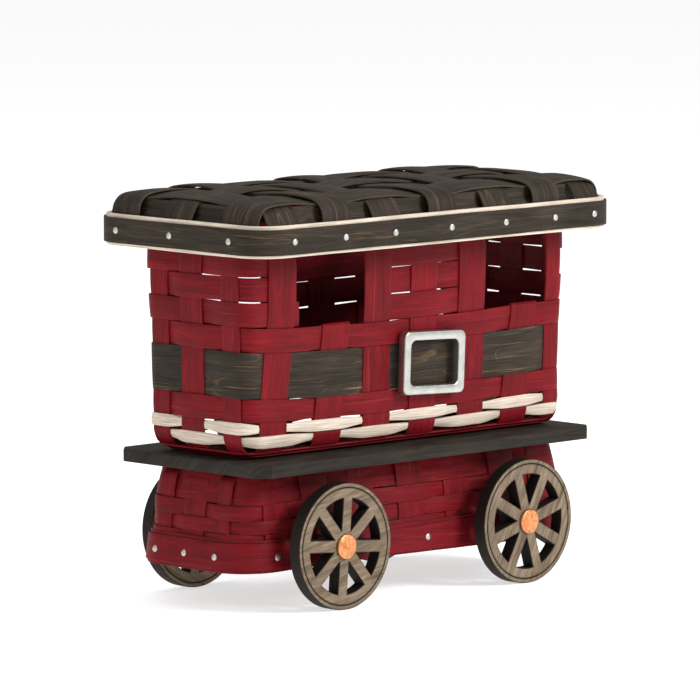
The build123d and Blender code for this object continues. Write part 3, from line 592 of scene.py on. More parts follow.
def bent_line(corners, bends, step=STEP):
    """Evenly spaced points along straight runs joined by smooth bends."""
    corners = [np.array(corner, float) for corner in corners]
    points = [corners[0]]
    for before, corner, after, bend in zip(corners, corners[1:], corners[2:], bends):
        inwards = unit(before - corner) * bend
        outwards = unit(after - corner) * bend
        for share in np.linspace(0, 1, 12):
            points.append(corner + inwards * (1 - share) ** 2 + outwards * share ** 2)
    points.append(corners[-1])
    points = np.array(points)
    run = np.concatenate([[0], np.cumsum(np.linalg.norm(np.diff(points, axis=0), axis=1))])
    even = np.linspace(0, run[-1], int(run[-1] / step) + 2)
    return np.column_stack([np.interp(even, run, points[:, axis]) for axis in range(2)])


def stake(line, place, width, across_x, lift, sway=0.25 * MM, upturned=False):
    """A strip of the given width along a line of (out, height) points in the X or Y plane."""
    run = np.arange(len(line)) * STEP
    low_side = place - width / 2 + drift(run, sway)
    high_side = place + width / 2 + drift(run, sway)
    if across_x:
        low = np.column_stack([low_side, line])
        high = np.column_stack([high_side, line])
    else:
        low = np.column_stack([line[:, 0], high_side, line[:, 1]])
        high = np.column_stack([line[:, 0], low_side, line[:, 1]])
    if upturned:
        low, high = high, low
    return strip(low, high, SPLINT, lift, 0.08 * MM)


def stake_lift(heights, rows):
    """Out where weavers pass inside, in where they pass outside; rows are (row, sign)."""
    places = [(row[0] + row[1]) / 2 for row, sign in rows]
    signs = [-sign for row, sign in rows]
    order = np.argsort(places)
    wave = np.interp(heights, np.array(places)[order], np.array(signs)[order], left=0, right=0)
    return STAKE_SWING * np.sin(wave * pi / 2)


# %% The carriage's walls bow a little and its rows sag towards the middle
car_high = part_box("belt_weaver")[1]
CAR_REACH = 1.6 * MM
car_half = np.array([car_high.x - CAR_REACH, car_high.y - CAR_REACH])
CAR_CORNER = 8.0 * MM
BOW_HEIGHTS = np.array([76, 84, 100, 115, 135, 155, 170, 180, 187, 193]) * MM
BOW = np.array([-0.6, -0.5, -0.7, -0.8, -0.1, 0.9, 1.2, 0.9, 0.2, 0.0]) * MM


CAR_BEND = 13.0 * MM
LAYER = 1.1 * MM
car_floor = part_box("car_cross_stakes")[0].z + SPLINT / 2


def car_wall_at(z):
    """Half size of the walls at a height, before they turn in at the foot."""
    return car_half + np.interp(z, BOW_HEIGHTS, BOW)


def turn_in(rise, bend):
    """How far a wall has turned in at a rise above the floor that it bends into."""
    return bend * (1 - np.sqrt(np.clip(rise / bend, 0, 1))) ** 2


def car_half_at(z):
    return car_wall_at(z) - turn_in(z - car_floor, CAR_BEND)


def car_corner_at(z):
    return CAR_CORNER


SAG_HEIGHTS = np.array([80, 92, 110, 145, 160, 180]) * MM
SAG_SHARE = np.array([0.25, 0.6, 1.0, 1.0, 0.6, 0.0])


def car_sag_at(x, z):
    """How far a row stands above or below its level: it is lowest left of the middle."""
    from_low = (x + 25 * MM) / np.where(x < -25 * MM, 93 * MM, 204 * MM)
    return (3.9 * from_low ** 2 - 2.7) * MM * np.interp(z, SAG_HEIGHTS, SAG_SHARE)


LEANS = {0: 5.0 * MM, 1: 6.5 * MM, 5: 7.5 * MM}


def car_lean_at(index, z):
    """How far a hand-set side stake stands to the right of its foot at a height."""
    up = np.clip((np.asarray(z) - 92 * MM) / (52 * MM), 0, 1)
    return LEANS.get(index, 0.0) * up


car = Basket(car_half_at, car_corner_at, car_side_stakes, car_end_stakes, car_sag_at, car_lean_at)
car_rows = {
    "trim_weaver_lower": True,
    "trim_weaver_upper": False,
    "body_weaver": True,
    "belt_weaver": False,
    "sill_weaver": True,
}
panel_rows = sorted({(round(low[2], 6), round(high[2], 6))
                     for low, high in solids("centre_panel_front")})
panel_over_middle = (True, False, True)
car_top = row_of("car_rim_outer")
print("panel rows", [[round(z / MM, 2) for z in row] for row in panel_rows])

# %% Weave the rows of the carriage
row_looks = {
    "trim_weaver_lower": ("natural_trim_weaver_lower", bare_wood, "natural_splint"),
    "trim_weaver_upper": ("natural_trim_weaver_upper", bare_wood, "natural_splint"),
    "body_weaver": ("red_body_weaver", red_dye, "red_splint"),
    "belt_weaver": ("dark_belt_weaver", dark_stain, "dark_splint"),
    "sill_weaver": ("red_sill_weaver", red_dye, "red_splint"),
}
for node, over_even in car_rows.items():
    name, finish, slot_name = row_looks[node]
    if slot_name == "natural_splint":
        shape = car.full_row(row_of(node), over_even, 0.25 * MM, thick=1.3 * MM, cup=0.5 * MM,
                             pinch=1.1 * MM)
    else:
        shape = car.full_row(row_of(node), over_even, 0.25 * MM)
    piece(name, [shape], finish, [node], "carriage")

# %% Weave the short rows between the windows and round the ends
mid_panel = (panel_rows[1][0] + panel_rows[1][1]) / 2
knots = ring_knots(car_half_at(mid_panel), CAR_CORNER)
car_a, car_b = car_half_at(mid_panel) - CAR_CORNER


def front_run(x):
    return knots[0] + car_a + x


def back_run(x):
    return knots[4] + car_a - x


def centre_panel(run_of):
    """The three short weavers of one long side, their tails inside the outer stakes."""
    shapes = []
    for row, over_middle in zip(panel_rows, panel_over_middle):
        met = sorted((run_of(place), width / 2, (1 if over_middle else -1) if index == 1 else -1)
                     for index, (place, width) in enumerate(car_side_stakes[2:5]))
        start = met[0][0] - met[0][1] * 0.9
        end = met[-1][0] + met[-1][1] * 0.9
        shapes.append(car.weaver(row, met, start, end, 0.2 * MM))
    return shapes


def end_panel(right):
    """The three short weavers round one end, their tails inside the corner stakes."""
    shapes = []
    corner_stake = car_side_stakes[-1] if right else car_side_stakes[0]
    whole = knots[-1]
    shift = 0.0 if right else float(car_lean_at(0, mid_panel))
    corner_stake = (corner_stake[0] + shift, corner_stake[1])
    for row, over_middle in zip(panel_rows, panel_over_middle):
        first, last = (front_run, back_run) if right else (back_run, front_run)
        met = [(first(corner_stake[0]), corner_stake[1] / 2, -1)]
        last_run = last(corner_stake[0]) + (0 if right else whole)
        for index, (place, width) in enumerate(car_end_stakes):
            run = knots[2] + car_b + place if right else knots[6] + car_b - place
            met.append((run, width / 2, 1 if (index == 1) != over_middle else -1))
        met = sorted(met) + [(last_run, corner_stake[1] / 2, -1)]
        shapes.append(car.weaver(row, met, met[0][0] - met[0][1] * 0.9,
                                 met[-1][0] + met[-1][1] * 0.9, 0.2 * MM))
    return shapes


for name, node, shapes in (
        ("red_front_panel_weavers", "centre_panel_front", centre_panel(front_run)),
        ("red_back_panel_weavers", "centre_panel_back", centre_panel(back_run)),
        ("red_left_end_weavers", "end_panel_left", end_panel(False)),
        ("red_right_end_weavers", "end_panel_right", end_panel(True))):
    piece(name, shapes, red_dye, [node], "carriage")

# %% Bend the crosswise stakes, two of which fold over the window sill
sill = row_of("sill_weaver")
FOLD_TAIL = 9.0 * MM
FOLD_TURN = 1.0 * MM
FOLD_RISE = 0.75 * MM
FOLD_DEPTH = 2.1 * MM
cut_stakes = (1, 5)


def rows_on_stake(index, is_end):
    """The rows that cross a stake, each with the side its weaver takes."""
    rows = []
    for node, over_even in car_rows.items():
        over = (index % 2 == 0) == over_even
        if is_end:
            over = not over
        rows.append((row_of(node), 1 if over else -1))
    for row, over_middle in zip(panel_rows, panel_over_middle):
        if is_end:
            rows.append((row, 1 if (index == 1) != over_middle else -1))
        elif index == 3:
            rows.append((row, 1 if over_middle else -1))
        elif index not in cut_stakes:
            rows.append((row, -1))
    return rows


def bowed(line, half, half_at, axis):
    """Move a straight wall line out to where the bowed wall stands."""
    out = np.array([half_at(z)[axis] for z in line[:, 1]])
    walls = np.clip((line[:, 1] - car_floor) / (12 * MM), 0, 1)
    line = line.copy()
    line[:, 0] += np.sign(line[:, 0]) * (out - half[axis]) * walls
    return line


shapes = []
for index, (place, width) in enumerate(car_side_stakes):
    out = car_half[1]
    if index in cut_stakes:
        sagged = sill[1] + float(car_sag_at(np.array(place), sill[1])) + FOLD_RISE
        tail = out - FOLD_DEPTH
        corners = [(-tail, sagged - FOLD_TAIL), (-tail, sagged), (-out, sagged), (-out, car_floor),
                   (out, car_floor), (out, sagged), (tail, sagged), (tail, sagged - FOLD_TAIL)]
        bends = [FOLD_TURN, FOLD_TURN, CAR_BEND, CAR_BEND, FOLD_TURN, FOLD_TURN]
    else:
        corners = [(-out, car_top[1]), (-out, car_floor), (out, car_floor), (out, car_top[1])]
        bends = [CAR_BEND, CAR_BEND]
    line = bent_line(corners, bends, STEP / (2 if index in cut_stakes else 1))
    lift = stake_lift(line[:, 1], rows_on_stake(index, False))
    lift[np.abs(line[:, 0]) < out - 1.5 * MM] = 0
    leaning = place + car_lean_at(index, line[:, 1])
    shapes.append(stake(bowed(line, car_half, car_wall_at, 1), leaning, width, True, lift))
piece("red_crosswise_stakes", shapes, red_dye, ["car_cross_stakes"], "carriage")

# %% Bend the lengthwise stakes of the carriage
shapes = []
long_floor = car_floor + LAYER
for index, (place, width) in enumerate(car_end_stakes):
    out = car_half[0]
    line = bent_line([(-out, car_top[1]), (-out, long_floor), (out, long_floor),
                      (out, car_top[1])], [CAR_BEND, CAR_BEND])
    lift = stake_lift(line[:, 1], rows_on_stake(index, True))
    lift[np.abs(line[:, 0]) < out - 1.5 * MM] = 0
    shapes.append(stake(bowed(line, car_half, car_wall_at, 0), place, width, False, lift))
piece("red_lengthwise_stakes", shapes, red_dye, ["car_long_stakes"], "carriage")

# %% Close the top and the foot of the carriage with plain strips
rim_gap = 1.05 * MM
piece("red_upper_rim_outside", [car.hoop(car_top, rim_gap, SPLINT, 0.1 * MM)], red_dye,
      ["car_rim_outer"], "carriage")
piece("red_upper_rim_inside", [car.hoop(car_top, -rim_gap, SPLINT, 0.1 * MM)], red_dye,
      ["car_rim_inner"], "carriage")
base_low, base_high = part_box("base_strip")


def base_half_at(z):
    """The base strip lies on the stakes where they turn in towards the floor."""
    return car_half_at(z) + 0.95 * MM


base = Basket(base_half_at, lambda z: 7 * MM, [], [], level)
piece("red_base_strip", [base.hoop((base_low.z + 1.2 * MM, base_high.z), 0.0, SPLINT, 0.12 * MM)],
      red_dye, ["base_strip"], "carriage")

# %% [markdown]
# ## The upturned basket below the board
# The chassis is woven like the carriage but stands upside down. Its walls lean outwards and its
# corners open up towards the rim, as they do when a basket is pulled over a hoop. The same
# weaver function makes it: only the size at each height and the stakes are different.

# %% Measure and weave the chassis
chassis_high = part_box("chassis_cross_stakes")[1].z - SPLINT / 2
rim_row = row_of("chassis_rim_hoop")
chassis_reach = 1.6 * MM


def chassis_level(node, at_top):
    """Half length and half width of the stakes' plane at one edge of a woven row."""
    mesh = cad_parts[node].data
    height = row_of(node)[1 if at_top else 0]
    flat = np.array([tuple(v.co) for v in mesh.vertices if abs(v.co.z - height) < MM / 20])
    return np.abs(flat[:, :2]).max(0) - chassis_reach


upper_level = chassis_level("chassis_weaver_1", True)
lower_level = chassis_level("chassis_weaver_4", False)
upper_height = row_of("chassis_weaver_1")[1]
lower_height = row_of("chassis_weaver_4")[0]
chassis_lean = (lower_level - upper_level) / (upper_height - lower_height)
print("chassis leans", [round(float(v), 3) for v in chassis_lean], "mm for each mm down")


CHASSIS_BEND = 5.0 * MM
TOP_ROOM = 0.6 * MM


def chassis_wall_at(z):
    return upper_level + chassis_lean * (upper_height - z)


def chassis_half_at(z):
    """The walls lean out towards the rim and turn in just below the board."""
    return chassis_wall_at(z) - turn_in(max(chassis_high - z, TOP_ROOM), CHASSIS_BEND)


def chassis_corner_at(z):
    return float(np.interp(z, [rim_row[0], rim_row[1], chassis_high], [20 * MM, 18 * MM, 8 * MM]))


def chassis_sag_at(x, z):
    """The rows of this small basket are set by hand and rise and fall a little."""
    return 0.6 * MM * np.sin(x / (38 * MM) + z / (7 * MM))


chassis = Basket(chassis_half_at, chassis_corner_at, chassis_side_stakes, chassis_end_stakes,
                 chassis_sag_at)
for number in (1, 2, 3, 4):
    node = f"chassis_weaver_{number}"
    low, high = row_of(node)
    if number == 4:
        low -= 2.0 * MM
    if number == 1:
        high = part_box("platform_board")[0].z - 0.5 * MM
    piece(f"red_chassis_weaver_{number}",
          [chassis.full_row((low, high), number % 2 == 1, 0.5 * MM, cup=0.2 * MM)], red_dye,
          [node], "carriage")

# %% Bend the chassis stakes
foot = rim_row[0] + 0.6 * MM
chassis_rows = [(row_of(f"chassis_weaver_{number}"), number % 2 == 1) for number in (1, 2, 3, 4)]
for across_x, stakes, node, name in (
        (True, chassis_side_stakes, "chassis_cross_stakes", "red_chassis_crosswise_stakes"),
        (False, chassis_end_stakes, "chassis_long_stakes", "red_chassis_lengthwise_stakes")):
    axis = 1 if across_x else 0
    top = chassis_high - (0 if across_x else LAYER)
    top_out, foot_out = chassis_wall_at(top)[axis], chassis_wall_at(foot)[axis]
    shapes = []
    for index, (place, width) in enumerate(stakes):
        line = bent_line([(-foot_out, foot), (-top_out, top), (top_out, top), (foot_out, foot)],
                         [CHASSIS_BEND, CHASSIS_BEND])
        rows = [(row, 1 if ((index % 2 == 0) == over_even) == across_x else -1)
                for row, over_even in chassis_rows]
        lift = stake_lift(line[:, 1], rows)
        lift[np.abs(line[:, 0]) < top_out - 2 * MM] = 0
        shapes.append(stake(line, place, width, across_x, lift, 0.35 * MM, upturned=True))
    piece(name, shapes, red_dye, [node], "carriage")

# %% Bind the rim of the chassis
band_row = row_of("chassis_rim_band")
piece("red_chassis_rim_hoop", [chassis.hoop(rim_row, 1.45 * MM, 1.2 * MM, 0.1 * MM)], red_dye,
      ["chassis_rim_hoop"], "carriage")
piece("red_chassis_rim_band", [chassis.hoop(band_row, 2.65 * MM, 1.0 * MM, 0.15 * MM)], red_dye,
      ["chassis_rim_band"], "carriage")
piece("red_chassis_rim_inside", [chassis.hoop(rim_row, -1.15 * MM, SPLINT, 0.1 * MM)], red_dye,
      ["chassis_rim_inner"], "carriage")

# %% [markdown]
# ## The lid
# The lid is a bent hoop of bare wood with a dark band nailed round it, and a roof woven from
# seven crosswise and three lengthwise dark splints. The roof could be a flat board with a weave
# painted on, but light catches each splint's edge. So one formula gives the height of the domed
# roof at any place, and every splint lies on it, out or in as it crosses the others.

# %% Bend the hoop and the band
lid_low, lid_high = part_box("lid_band")
hoop_low, hoop_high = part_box("lid_hoop")
LID_CORNER = 18 * MM
BAND_THICK = 1.2 * MM
HOOP_THICK = 2.75 * MM
lid_outer = np.array([lid_high.x, lid_high.y])
hoop_outer = np.array([hoop_high.x, hoop_high.y])
hoop_inner = hoop_outer - HOOP_THICK
inner_corner = LID_CORNER - BAND_THICK - HOOP_THICK


def lid_ring(outer, corner, thick):
    """A basket-like ring whose middle line lies half a thickness inside the outer size."""
    return Basket(lambda z: outer - thick / 2, lambda z: corner - thick / 2, [], [], level)


band = lid_ring(lid_outer, LID_CORNER, BAND_THICK)
hoop = lid_ring(hoop_outer, LID_CORNER - BAND_THICK, HOOP_THICK)
piece("dark_lid_band", [band.hoop((lid_low.z, lid_high.z), 0.0, BAND_THICK, 0.12 * MM)],
      dark_stain, ["lid_band"], "lid")
piece("natural_lid_hoop", [hoop.hoop((hoop_low.z, hoop_high.z), 0.0, HOOP_THICK, 0.12 * MM,
                                     edge_round=0.6 * MM)],
      bare_wood, ["lid_hoop"], "lid")

# %% The height of the domed roof
SHOULDER = hoop_high.z + 0.4 * MM
SHARP_RISE = 7.5 * MM
SHARP_RUN = 2.0 * MM
SLOW_RISE = 2.4 * MM
SLOW_RUN = 10 * MM
LEFT_RISE = 1.1 * MM
WALL_ROOM = 0.65 * MM


def wall_at(other, along, beside):
    """Where the hoop's inner wall stands, along one axis, at a place on the other axis."""
    past = np.clip(np.abs(other) - (beside - inner_corner), 0, inner_corner * 0.98)
    return along - inner_corner + np.sqrt(inner_corner ** 2 - past ** 2) - WALL_ROOM


def roof_at(x, y):
    """Height of the roof's middle surface: steep at the hoop, then a slow dome."""
    from_long = np.maximum(wall_at(x, hoop_inner[1], hoop_inner[0]) - np.abs(y), 0)
    from_end = np.maximum(wall_at(y, hoop_inner[0], hoop_inner[1]) - np.abs(x), 0)
    sharp = (1 - np.exp(-from_long / SHARP_RUN)) * (1 - np.exp(-from_end / SHARP_RUN))
    slow = (1 - np.exp(-from_long / SLOW_RUN)) * (1 - np.exp(-from_end / SLOW_RUN))
    left = np.clip((-np.asarray(x) / MM - 50) / 25, 0, 1) * np.minimum(sharp, slow)
    return SHOULDER + SHARP_RISE * sharp + SLOW_RISE * slow + LEFT_RISE * left


print("roof rises to", round(float(roof_at(0.0, 0.0)) / MM, 1), "mm")

# %% Weave the roof
ROOF_SWING = 0.8 * MM
LEG_LOW = 181 * MM


def roof_line(side_place, wall, place_of):
    """One edge of a roof splint: up a wall of the hoop, over the dome and down again."""
    leg = np.arange(LEG_LOW, SHOULDER, STEP)
    near = np.linspace(0, 1, 44) ** 1.8
    half_way = wall * (1 - near)
    over = np.concatenate([-half_way, half_way[::-1][1:]])
    top_places = place_of(np.full_like(over, side_place), over)
    heights = roof_at(*top_places)
    first = place_of(np.full_like(leg, side_place), np.full_like(leg, -wall))
    last = place_of(np.full_like(leg, side_place), np.full_like(leg, wall))
    return np.vstack([np.column_stack([*first, leg]), np.column_stack([*top_places, heights]),
                      np.column_stack([*last, leg[::-1]])])


def roof_splint(place, width, crosswise, met):
    """A splint over the roof that swings past the splints it meets."""
    if crosswise:
        def place_of(side, run):
            return side, run

        sides = (place - width / 2, place + width / 2)
        walls = [wall_at(side, hoop_inner[1], hoop_inner[0]) for side in sides]
    else:
        def place_of(side, run):
            return run, side

        sides = (place + width / 2, place - width / 2)
        walls = [wall_at(side, hoop_inner[0], hoop_inner[1]) for side in sides]
    lines = [roof_line(side, wall, place_of) for side, wall in zip(sides, walls)]
    axis = 1 if crosswise else 0
    middle = (lines[0] + lines[1]) / 2
    fade = np.clip((middle[:, 2] - SHOULDER) / (4 * MM), 0, 1)
    lift = ROOF_SWING * swing(middle[:, axis], met) * fade
    run = np.concatenate([[0], np.cumsum(np.linalg.norm(np.diff(middle, axis=0), axis=1))])
    for line in lines:
        line[:, 1 - axis] += drift(run, 0.35 * MM)
    # across points the other way here, because the splint starts upwards
    return strip(lines[1], lines[0], SPLINT, lift, 0.35 * MM)


cross_shapes, long_shapes = [], []
for index, (place, width) in enumerate(roof_cross):
    over_side = index % 2 == 1
    met = [(long_place, long_width / 2, 1 if (number == 1) != over_side else -1)
           for number, (long_place, long_width) in enumerate(roof_long)]
    cross_shapes.append(roof_splint(place, width, True, met))
for number, (place, width) in enumerate(roof_long):
    met = [(cross_place, cross_width / 2,
            -1 if (number == 1) != (index % 2 == 1) else 1)
           for index, (cross_place, cross_width) in enumerate(roof_cross)]
    long_shapes.append(roof_splint(place, width, False, met))
piece("dark_crosswise_roof_splints", cross_shapes, dark_stain, ["lid_cross_splints"], "lid")
piece("dark_lengthwise_roof_splints", long_shapes, dark_stain, ["lid_long_splints"], "lid")

# %% Lay splints behind the shoulder, along the sides and across the ends
BEHIND = 1.15 * MM
TURN_IN = 6.5 * MM
shapes = []
for low_corner, high_corner in solids("lid_side_weavers"):
    axis = 0 if (high_corner - low_corner)[0] > (high_corner - low_corner)[1] else 1
    other = 1 - axis
    side = 1.0 if (low_corner + high_corner)[other] > 0 else -1.0
    length = high_corner[axis] - low_corner[axis]
    along = np.linspace(low_corner[axis], high_corner[axis], int(length / STEP))
    along = along * (-side if axis == 0 else side)
    wall = wall_at(along, hoop_inner[other], hoop_inner[axis]) - BEHIND
    inner = np.minimum(wall - 1 * MM, hoop_inner[other] - TURN_IN)
    lines = []
    for out, is_top in ((wall, False), (inner, True)):
        flat = [along, side * out] if axis == 0 else [side * out, along]
        height = roof_at(*flat) - BEHIND if is_top else np.full_like(along, SHOULDER - 3 * MM)
        lines.append(np.column_stack([*flat, height]))
    shapes.append(strip(lines[1], lines[0], SPLINT, 0.0, 1.6 * MM))
piece("dark_side_roof_splints", shapes, dark_stain, ["lid_side_weavers"], "lid")

# %% [markdown]
# ## Nails, caps and other turned pieces
# Tacks have domed heads and the wheel caps are thin copper discs. A sphere cut in half would give
# a head too tall. So an outline of a few points is turned round an axis, as on a lathe, and the
# result is set square on the surface that it is driven into.

# %% Turn an outline round an axis


def turned(outline, place, axis, around=24):
    """An outline of (radius, height) points turned round an axis at a place."""
    rings = [(radius, height) for radius, height in outline if radius > 0]
    frame_of = Vector(axis).to_track_quat("Z", "Y").to_matrix()
    points, faces = [], []
    for radius, height in rings:
        for index in range(around):
            angle = 2 * pi * index / around
            local = Vector((radius * cos(angle), radius * sin(angle), height))
            points.append(tuple(frame_of @ local + Vector(place)))
    for level_index in range(len(rings) - 1):
        for index in range(around):
            beside = (index + 1) % around
            low, high = level_index * around, (level_index + 1) * around
            faces.append((low + index, low + beside, high + beside, high + index))
    faces.append(tuple(range(around))[::-1])
    faces.append(tuple(range((len(rings) - 1) * around, len(rings) * around)))
    seed = seeds.uniform(0, 9)
    grain = np.array([[*(Vector(p) - Vector(place)), ] for p in points]) + seed
    return np.array(points), faces, grain, np.zeros(len(points))


TACK_HEIGHT = 0.8 * MM


def tack_spots(node, lean=(0.0, 0.0)):
    """Where each tack of a node meets its surface, and the way that it faces."""
    spots = []
    low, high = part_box(node)
    for box_low, box_high in solids(node):
        middle = (box_low + box_high) / 2
        on_end = min(middle[0] - low.x, high.x - middle[0]) < 4 * MM
        axis = 0 if on_end else 1
        side = 1.0 if middle[axis] > 0 else -1.0
        outer = box_high[axis] if side > 0 else box_low[axis]
        facing = Vector((side, 0, lean[0]) if on_end else (0, side, lean[1])).normalized()
        place = Vector(middle)
        place[axis] = outer - side * TACK_HEIGHT
        spots.append((place, facing))
    return spots


TACK_HEAD = 1.75 * MM
tack_outline = [(0.6 * MM, -1.2 * MM), (TACK_HEAD * 0.96, -0.15 * MM), (TACK_HEAD, 0.1 * MM),
                (TACK_HEAD * 0.94, 0.32 * MM), (TACK_HEAD * 0.75, 0.52 * MM),
                (TACK_HEAD * 0.45, 0.66 * MM), (TACK_HEAD * 0.12, 0.71 * MM)]

# %% Metal finishes


def metal_finish(name, tones, rough, scale, dent=0.03):
    """A metal whose colour and polish vary in small patches, with fine scratches."""
    recipe = Recipe(name)
    place = recipe.node("ShaderNodeTexCoord", out=3)
    patches = recipe.noise(place, (scale,) * 3, 4.0)
    scratches = recipe.noise(place, (scale * 2, scale * 14, scale * 9), 3.0)
    colour = recipe.ramp(patches, [(0.3, tones[0]), (0.5, tones[1]), (0.7, tones[2])])
    height = recipe.maths("ADD", patches, scratches)
    return recipe.finish(Base_Color=colour, Metallic=1.0,
                         Roughness=recipe.spread(scratches, 0.3, 0.7, rough[0], rough[1]),
                         Normal=recipe.bump(height, dent * MM, 0.6))


tack_steel = metal_finish("tack_steel", [(0.36, 0.37, 0.34), (0.52, 0.53, 0.49), (0.66, 0.66, 0.62)],
                          (0.34, 0.55), 900.0)
copper = metal_finish("copper", [(0.52, 0.18, 0.07), (0.76, 0.30, 0.12), (0.90, 0.46, 0.22)],
                      (0.26, 0.48), 420.0, 0.06)
nickel = metal_finish("polished_nickel", [(0.46, 0.47, 0.43), (0.54, 0.55, 0.51), (0.60, 0.61, 0.57)],
                      (0.3, 0.42), 160.0, 0.01)

# %% Drive the tacks
for node, name, body, lean in (
        ("lid_tacks", "lid_tack_heads", "lid", (0.0, 0.0)),
        ("car_rim_tacks", "upper_rim_tack_heads", "carriage", (0.0, 0.0)),
        ("chassis_rim_tacks", "chassis_tack_heads", "carriage", tuple(chassis_lean))):
    heads = [turned(tack_outline, place, facing, 20) for place, facing in tack_spots(node, lean)]
    piece(name, heads, tack_steel, [node], body, 60)

# %% Press on the copper caps
cap_low, cap_high = solids("hub_caps")[0]
CAP_RADIUS = (cap_high[0] - cap_low[0]) / 2
CAP_THICK = cap_high[1] - cap_low[1]
cap_outline = [(CAP_RADIUS * 0.97, 0.0), (CAP_RADIUS, 0.12 * CAP_THICK),
               (CAP_RADIUS, 0.62 * CAP_THICK), (CAP_RADIUS * 0.975, 0.82 * CAP_THICK),
               (CAP_RADIUS * 0.93, 0.92 * CAP_THICK), (CAP_RADIUS * 0.87, 0.9 * CAP_THICK),
               (CAP_RADIUS * 0.82, 0.8 * CAP_THICK), (CAP_RADIUS * 0.6, 0.86 * CAP_THICK),
               (CAP_RADIUS * 0.3, 0.95 * CAP_THICK), (CAP_RADIUS * 0.05, 0.98 * CAP_THICK)]
caps = []
for low, high in solids("hub_caps"):
    middle = (low + high) / 2
    side = 1.0 if middle[1] > 0 else -1.0
    inner = low[1] if side > 0 else high[1]
    caps.append(turned(cap_outline, (middle[0], inner, middle[2]), (0, side, 0), 48))
piece("copper_hub_caps", caps, copper, ["hub_caps"], "carriage", 50)

# %% [markdown]
# ## The buckle
# The buckle is a cast rectangular ring with rounded corners, softer inside than outside. It could
# be cut from a block, but a ring is the same shape as a short wide strip bent round a loop. So
# the strip function makes it too, with the ring's depth as its thickness.

# %% Bend the buckle's ring
buckle_low, buckle_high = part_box("belt_buckle")
BUCKLE_TILT = radians(-2.5)
BUCKLE_BAR = 4.6 * MM
buckle_size = np.array([43.0, 32.0]) * MM
buckle_middle = (buckle_low + buckle_high) / 2
buckle_depth = buckle_high.y - buckle_low.y
stations = np.linspace(0, 8, 161)[:-1]
rings = []
for half, corner in ((buckle_size / 2, 3.2 * MM), (buckle_size / 2 - BUCKLE_BAR, 3.4 * MM)):
    flat = ring_points(stations, half, corner)
    x = flat[:, 0] * cos(BUCKLE_TILT) - flat[:, 1] * sin(BUCKLE_TILT)
    z = flat[:, 0] * sin(BUCKLE_TILT) + flat[:, 1] * cos(BUCKLE_TILT)
    rings.append(np.column_stack([x + buckle_middle.x, np.full_like(x, buckle_middle.y),
                                  z + buckle_middle.z]))
piece("nickel_belt_buckle", [strip(rings[1], rings[0], buckle_depth, closed=True,
                                   edge_round=0.75 * MM)],
      nickel, ["belt_buckle"], "carriage", 60)

# %% [markdown]
# ## Wheels
# Each wheel is cut from thin plywood by a laser, which chars the cut walls and draws a thin dark
# ring round the face. The frame's wheel is right in size, but its edges are perfectly sharp. The
# outline is drawn again as flat loops, filled with triangles between them, and given depth: each
# loop knows how deep it lies and how charred it is.

# %% Draw and cut one wheel
WHEEL_LOOPS = ((0.0, 0.22, 1.0), (0.22, 0.0, 0.75), (0.75, 0.0, 0.0))
# each loop is (inset, depth, char) with inset and depth in millimetres
SPOKES = 8
SPOKE_HALF = 3.2 * MM
RIM_INNER = 24.1 * MM
GROOVE = 29.35 * MM


def window_loop(inset):
    """The outline of the opening between two spokes, drawn a little larger by its inset."""
    side = SPOKE_HALF - inset
    rim = RIM_INNER + inset
    half_gap = pi / SPOKES
    start = asin(side / rim)
    arc = [(rim * cos(a), rim * sin(a)) for a in np.linspace(start, 2 * half_gap - start, 15)]
    point = side / sin(half_gap)
    tip = (point * cos(half_gap), point * sin(half_gap))
    first, last = np.array(arc[0]), np.array(arc[-1])
    tip = np.array(tip)
    along = [tuple(last + (tip - last) * t) for t in (0.33, 0.66, 0.97)]
    back = [tuple(tip + (first - tip) * t) for t in (0.03, 0.34, 0.67)]
    return arc + along + back


